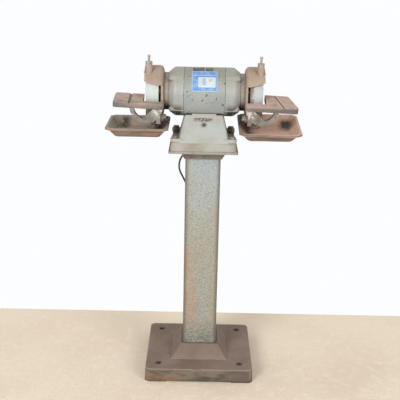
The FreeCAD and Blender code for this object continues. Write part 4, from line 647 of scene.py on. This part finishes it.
# Painted shade along the table edges that face down.
shaded_under_edge = both(tree, edge_ridges(tree, 0.005), facing_up(tree, 0.35, 0.05))
red = over(tree, red, (0.13, 0.105, 0.09), both(tree, shaded_under_edge, 0.8))
# Painted shade darkens the tables' corners.
red = over(tree, red, (0.10, 0.07, 0.055), crevice_shade(tree, 0.015, 0.8))
tree.links.new(red, shader.inputs["Base Color"])
relief(tree, shader, blotches(tree, 0.0025, 0.3, 0.7, detail=6), 0.0004)
coat(table_finish, "left_rest_table", "right_rest_table")

yoke_finish, tree, shader = new_finish("chipped_grey_yoke", 0.6)
ash = over(tree, (0.252, 0.248, 0.226), (0.178, 0.148, 0.122), blotches(tree, 0.016, 0.42, 0.60))
ash = over(tree, ash, (0.444, 0.429, 0.370), blotches(tree, 0.008, 0.60, 0.68))
rubbed = both(tree, edge_ridges(tree, 0.003), blotches(tree, 0.010, 0.38, 0.58))
ash = over(tree, ash, (0.385, 0.374, 0.348), rubbed)
ash = over(tree, ash, (0.074, 0.063, 0.056), blotches(tree, 0.004, 0.65, 0.72))
knuckle = both(tree, along(tree, "X", 0.160, 0.148), along(tree, "X", -0.160, -0.148))
knuckle = both(tree, knuckle, both(tree, along(tree, "Z", 0.846, 0.856), blotches(tree, 0.011, 0.40, 0.52)))
ash = over(tree, ash, (0.56, 0.54, 0.48), knuckle)
# Painted shade darkens the yokes' corners.
ash = over(tree, ash, (0.06, 0.05, 0.042), crevice_shade(tree, 0.02, 0.85))
tree.links.new(ash, shader.inputs["Base Color"])
relief(tree, shader, blotches(tree, 0.003, 0.3, 0.7), 0.0004)
coat(yoke_finish, "left_rest_yoke", "right_rest_yoke")

# Swarf trays: flared cast pans with a beaded rim, on short posts bolted under the guards.
# Water and hot grit have rusted them; dark stains lie in the outer back corners.
tray_finish, tree, shader = new_finish("rusted_tray", 0.66)
brown = over(tree, (0.290, 0.184, 0.139), (0.223, 0.143, 0.113), blotches(tree, 0.035, 0.40, 0.60))
pale_front = both(tree, along(tree, "Y", -0.098, -0.118), blotches(tree, 0.04, 0.40, 0.62))
brown = over(tree, brown, (0.302, 0.250, 0.210), pale_front)
# Part wear, part painted highlight: the edges, with the bright line along the rim, are painted pale.
rubbed = both(tree, edge_ridges(tree, 0.004), blotches(tree, 0.016, 0.26, 0.46))
brown = over(tree, brown, (0.43, 0.315, 0.245), rubbed)
# Painted shade along the tray edges that face down.
shaded_under_edge = both(tree, edge_ridges(tree, 0.006), facing_up(tree, -0.20, -0.60))
brown = over(tree, brown, (0.085, 0.065, 0.05), both(tree, shaded_under_edge, 0.8))
pan = facing_up(tree, 0.10, 0.40)
right_pan = both(tree, pan, along(tree, "X", 0.10, 0.18))
brown = over(tree, brown, (0.66, 0.415, 0.305), both(tree, right_pan, 0.9))
left_pan = both(tree, pan, along(tree, "X", -0.10, -0.16))
brown = over(tree, brown, (0.37, 0.320, 0.240), both(tree, left_pan, 0.65))
layers = both(tree, blotches(tree, 0.005, 0.44, 0.58, stretch=(0.06, 0.06, 1)), facing_up(tree, 0.20, -0.10))
brown = over(tree, brown, (0.120, 0.088, 0.070), both(tree, layers, 0.65))
for tray_side in (1, -1):
    inner = both(tree, along(tree, "X", 0.160 * tray_side, 0.132 * tray_side), along(tree, "Y", -0.08, -0.03))
    inner = both(tree, inner, along(tree, "X", 0, 0.05 * tray_side))
    brown = over(tree, brown, (0.075, 0.043, 0.032), both(tree, inner, blotches(tree, 0.02, 0.20, 0.45)))
brown = over(tree, brown, (0.134, 0.094, 0.076), blotches(tree, 0.005, 0.63, 0.71))
for stain_x, stain_reach in ((0.258, 0.030), (-0.248, 0.022)):
    left = along(tree, "X", stain_x - stain_reach, stain_x - stain_reach / 4)
    right = along(tree, "X", stain_x + stain_reach, stain_x + stain_reach / 4)
    spot = both(tree, both(tree, left, right), both(tree, pan, along(tree, "Y", -0.020, 0.015)))
    spot = both(tree, spot, along(tree, "Z", 0.829, 0.817))
    brown = over(tree, brown, (0.040, 0.036, 0.028), both(tree, spot, blotches(tree, 0.012, 0.22, 0.46)))
# Painted shade darkens the trays' corners and the line under their rims.
brown = over(tree, brown, (0.065, 0.048, 0.038), crevice_shade(tree, 0.008, 0.7))
tree.links.new(brown, shader.inputs["Base Color"])
relief(tree, shader, blotches(tree, 0.003, 0.3, 0.7, detail=6), 0.0005)
coat(tray_finish, "left_tray", "right_tray", "left_tray_post", "right_tray_post")

# Switch: a toggle in a threaded bush on the stand's front, plated once and now dull, its
# contact case inside the stand moulded in black.
plated_finish, tree, shader = new_finish("dulled_plating", 0.34, metallic=0.9)
plating = over(tree, (0.30, 0.28, 0.25), (0.13, 0.11, 0.095), blotches(tree, 0.004, 0.40, 0.60))
plating = over(tree, plating, (0.55, 0.54, 0.52), edge_ridges(tree, 0.0008))
tree.links.new(plating, shader.inputs["Base Color"])
coat(plated_finish, "switch_bush", "switch_lever")

case_finish, tree, shader = new_finish("moulded_case", 0.5)
tree.links.new(over(tree, (0.035, 0.033, 0.032), (0.06, 0.055, 0.05), blotches(tree, 0.005, 0.4, 0.6)),
               shader.inputs["Base Color"])
relief(tree, shader, blotches(tree, 0.0008, 0.3, 0.7), 0.00005)
coat(case_finish, "switch_body")

# Supply lead: black rubber cable from a tapered gland at the stand's back. It bows out past
# the column's left side, hangs behind it and is put away on the floor in a tied coil.
CORD_RADIUS = 0.003
COIL_OUTER = 0.0418
LEAD_ROUTE = [
    (-0.025, 0.10333, 0.800), (-0.025, 0.12433, 0.800), (-0.026, 0.144, 0.7875), (-0.029, 0.155, 0.764),
    (-0.038, 0.148, 0.730), (-0.058, 0.121, 0.696), (-0.077, 0.094, 0.674), (-0.078, 0.079, 0.646),
    (-0.062, 0.073, 0.618), (-0.045, 0.076, 0.580), (-0.036, 0.080, 0.520), (-0.030, 0.075, 0.456),
    (-0.031, 0.078, 0.380), (-0.027, 0.075, 0.300), (-0.028, 0.078, 0.224), (-0.025, 0.084, 0.155),
    (-0.024, 0.112, 0.098), (-0.028, 0.146, 0.068), (-0.034, 0.178, 0.054), (-0.037, 0.196, 0.036),
    (-0.039, 0.211, 0.019), (-COIL_OUTER, 0.224, 0.0086), (-COIL_OUTER, 0.240, 0.0046),
    (-COIL_OUTER, 0.256, 0.0046)]
COIL_CENTRE_Y = 0.262
COIL_INNER = 0.0262
COIL_PITCH = 0.0078
COIL_TURNS = 2
COIL_LOW = 0.0046
COIL_LIFT = 0.0066
TURN_STEPS = 20

route = list(LEAD_ROUTE)
bulge = 1 / math.cos(math.pi / TURN_STEPS)
for step in range(1, int((2 * COIL_TURNS + 0.5) * TURN_STEPS)):
    turn = step / TURN_STEPS
    climb = min(max((turn - COIL_TURNS) / 0.5, 0), 1)
    radius = COIL_INNER + COIL_PITCH * max(COIL_TURNS - turn, turn - COIL_TURNS - 0.5, 0)
    angle = math.pi - 2 * math.pi * turn
    route.append((bulge * radius * math.cos(angle), COIL_CENTRE_Y + bulge * radius * math.sin(angle),
                  COIL_LOW + COIL_LIFT * climb * climb * (3 - 2 * climb)))
for tail in (0, 0.018, 0.036):
    route.append((COIL_OUTER, COIL_CENTRE_Y - tail, COIL_LOW + COIL_LIFT))

lead_data = bpy.data.curves.new("supply_lead", "CURVE")
lead_data.dimensions = "3D"
lead_data.bevel_depth = CORD_RADIUS
lead_data.bevel_resolution = 5
lead_data.use_fill_caps = True
lead_line = lead_data.splines.new("NURBS")
lead_line.points.add(len(route) - 1)
for point, spot in zip(lead_line.points, route):
    point.co = (*spot, 1)
lead_line.order_u = 3
lead_line.use_endpoint_u = True
lead_line.resolution_u = 6
lead = bpy.data.objects.new("supply_lead", lead_data)
scene.collection.objects.link(lead)

rubber_finish, tree, shader = new_finish("black_rubber", 0.55)
black = over(tree, (0.028, 0.028, 0.028), (0.055, 0.052, 0.048), blotches(tree, 0.012, 0.42, 0.62))
black = over(tree, black, (0.13, 0.12, 0.11), blotches(tree, 0.003, 0.66, 0.74))
tree.links.new(black, shader.inputs["Base Color"])
relief(tree, shader, blotches(tree, 0.0012, 0.3, 0.7), 0.00006)
lead_data.materials.append(rubber_finish)
coat(rubber_finish, "cord_gland", "plug_body", "coil_tie")

brass_finish, tree, shader = new_finish("plug_brass", 0.3, metallic=1.0)
tree.links.new(over(tree, (0.66, 0.50, 0.24), (0.42, 0.29, 0.13), blotches(tree, 0.004, 0.42, 0.64)),
               shader.inputs["Base Color"])
relief(tree, shader, blotches(tree, 0.0008, 0.3, 0.7), 0.00003)
coat(brass_finish, "plug_pins")

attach(lead, "pedestal")
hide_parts("power_cord", "cord_coil")
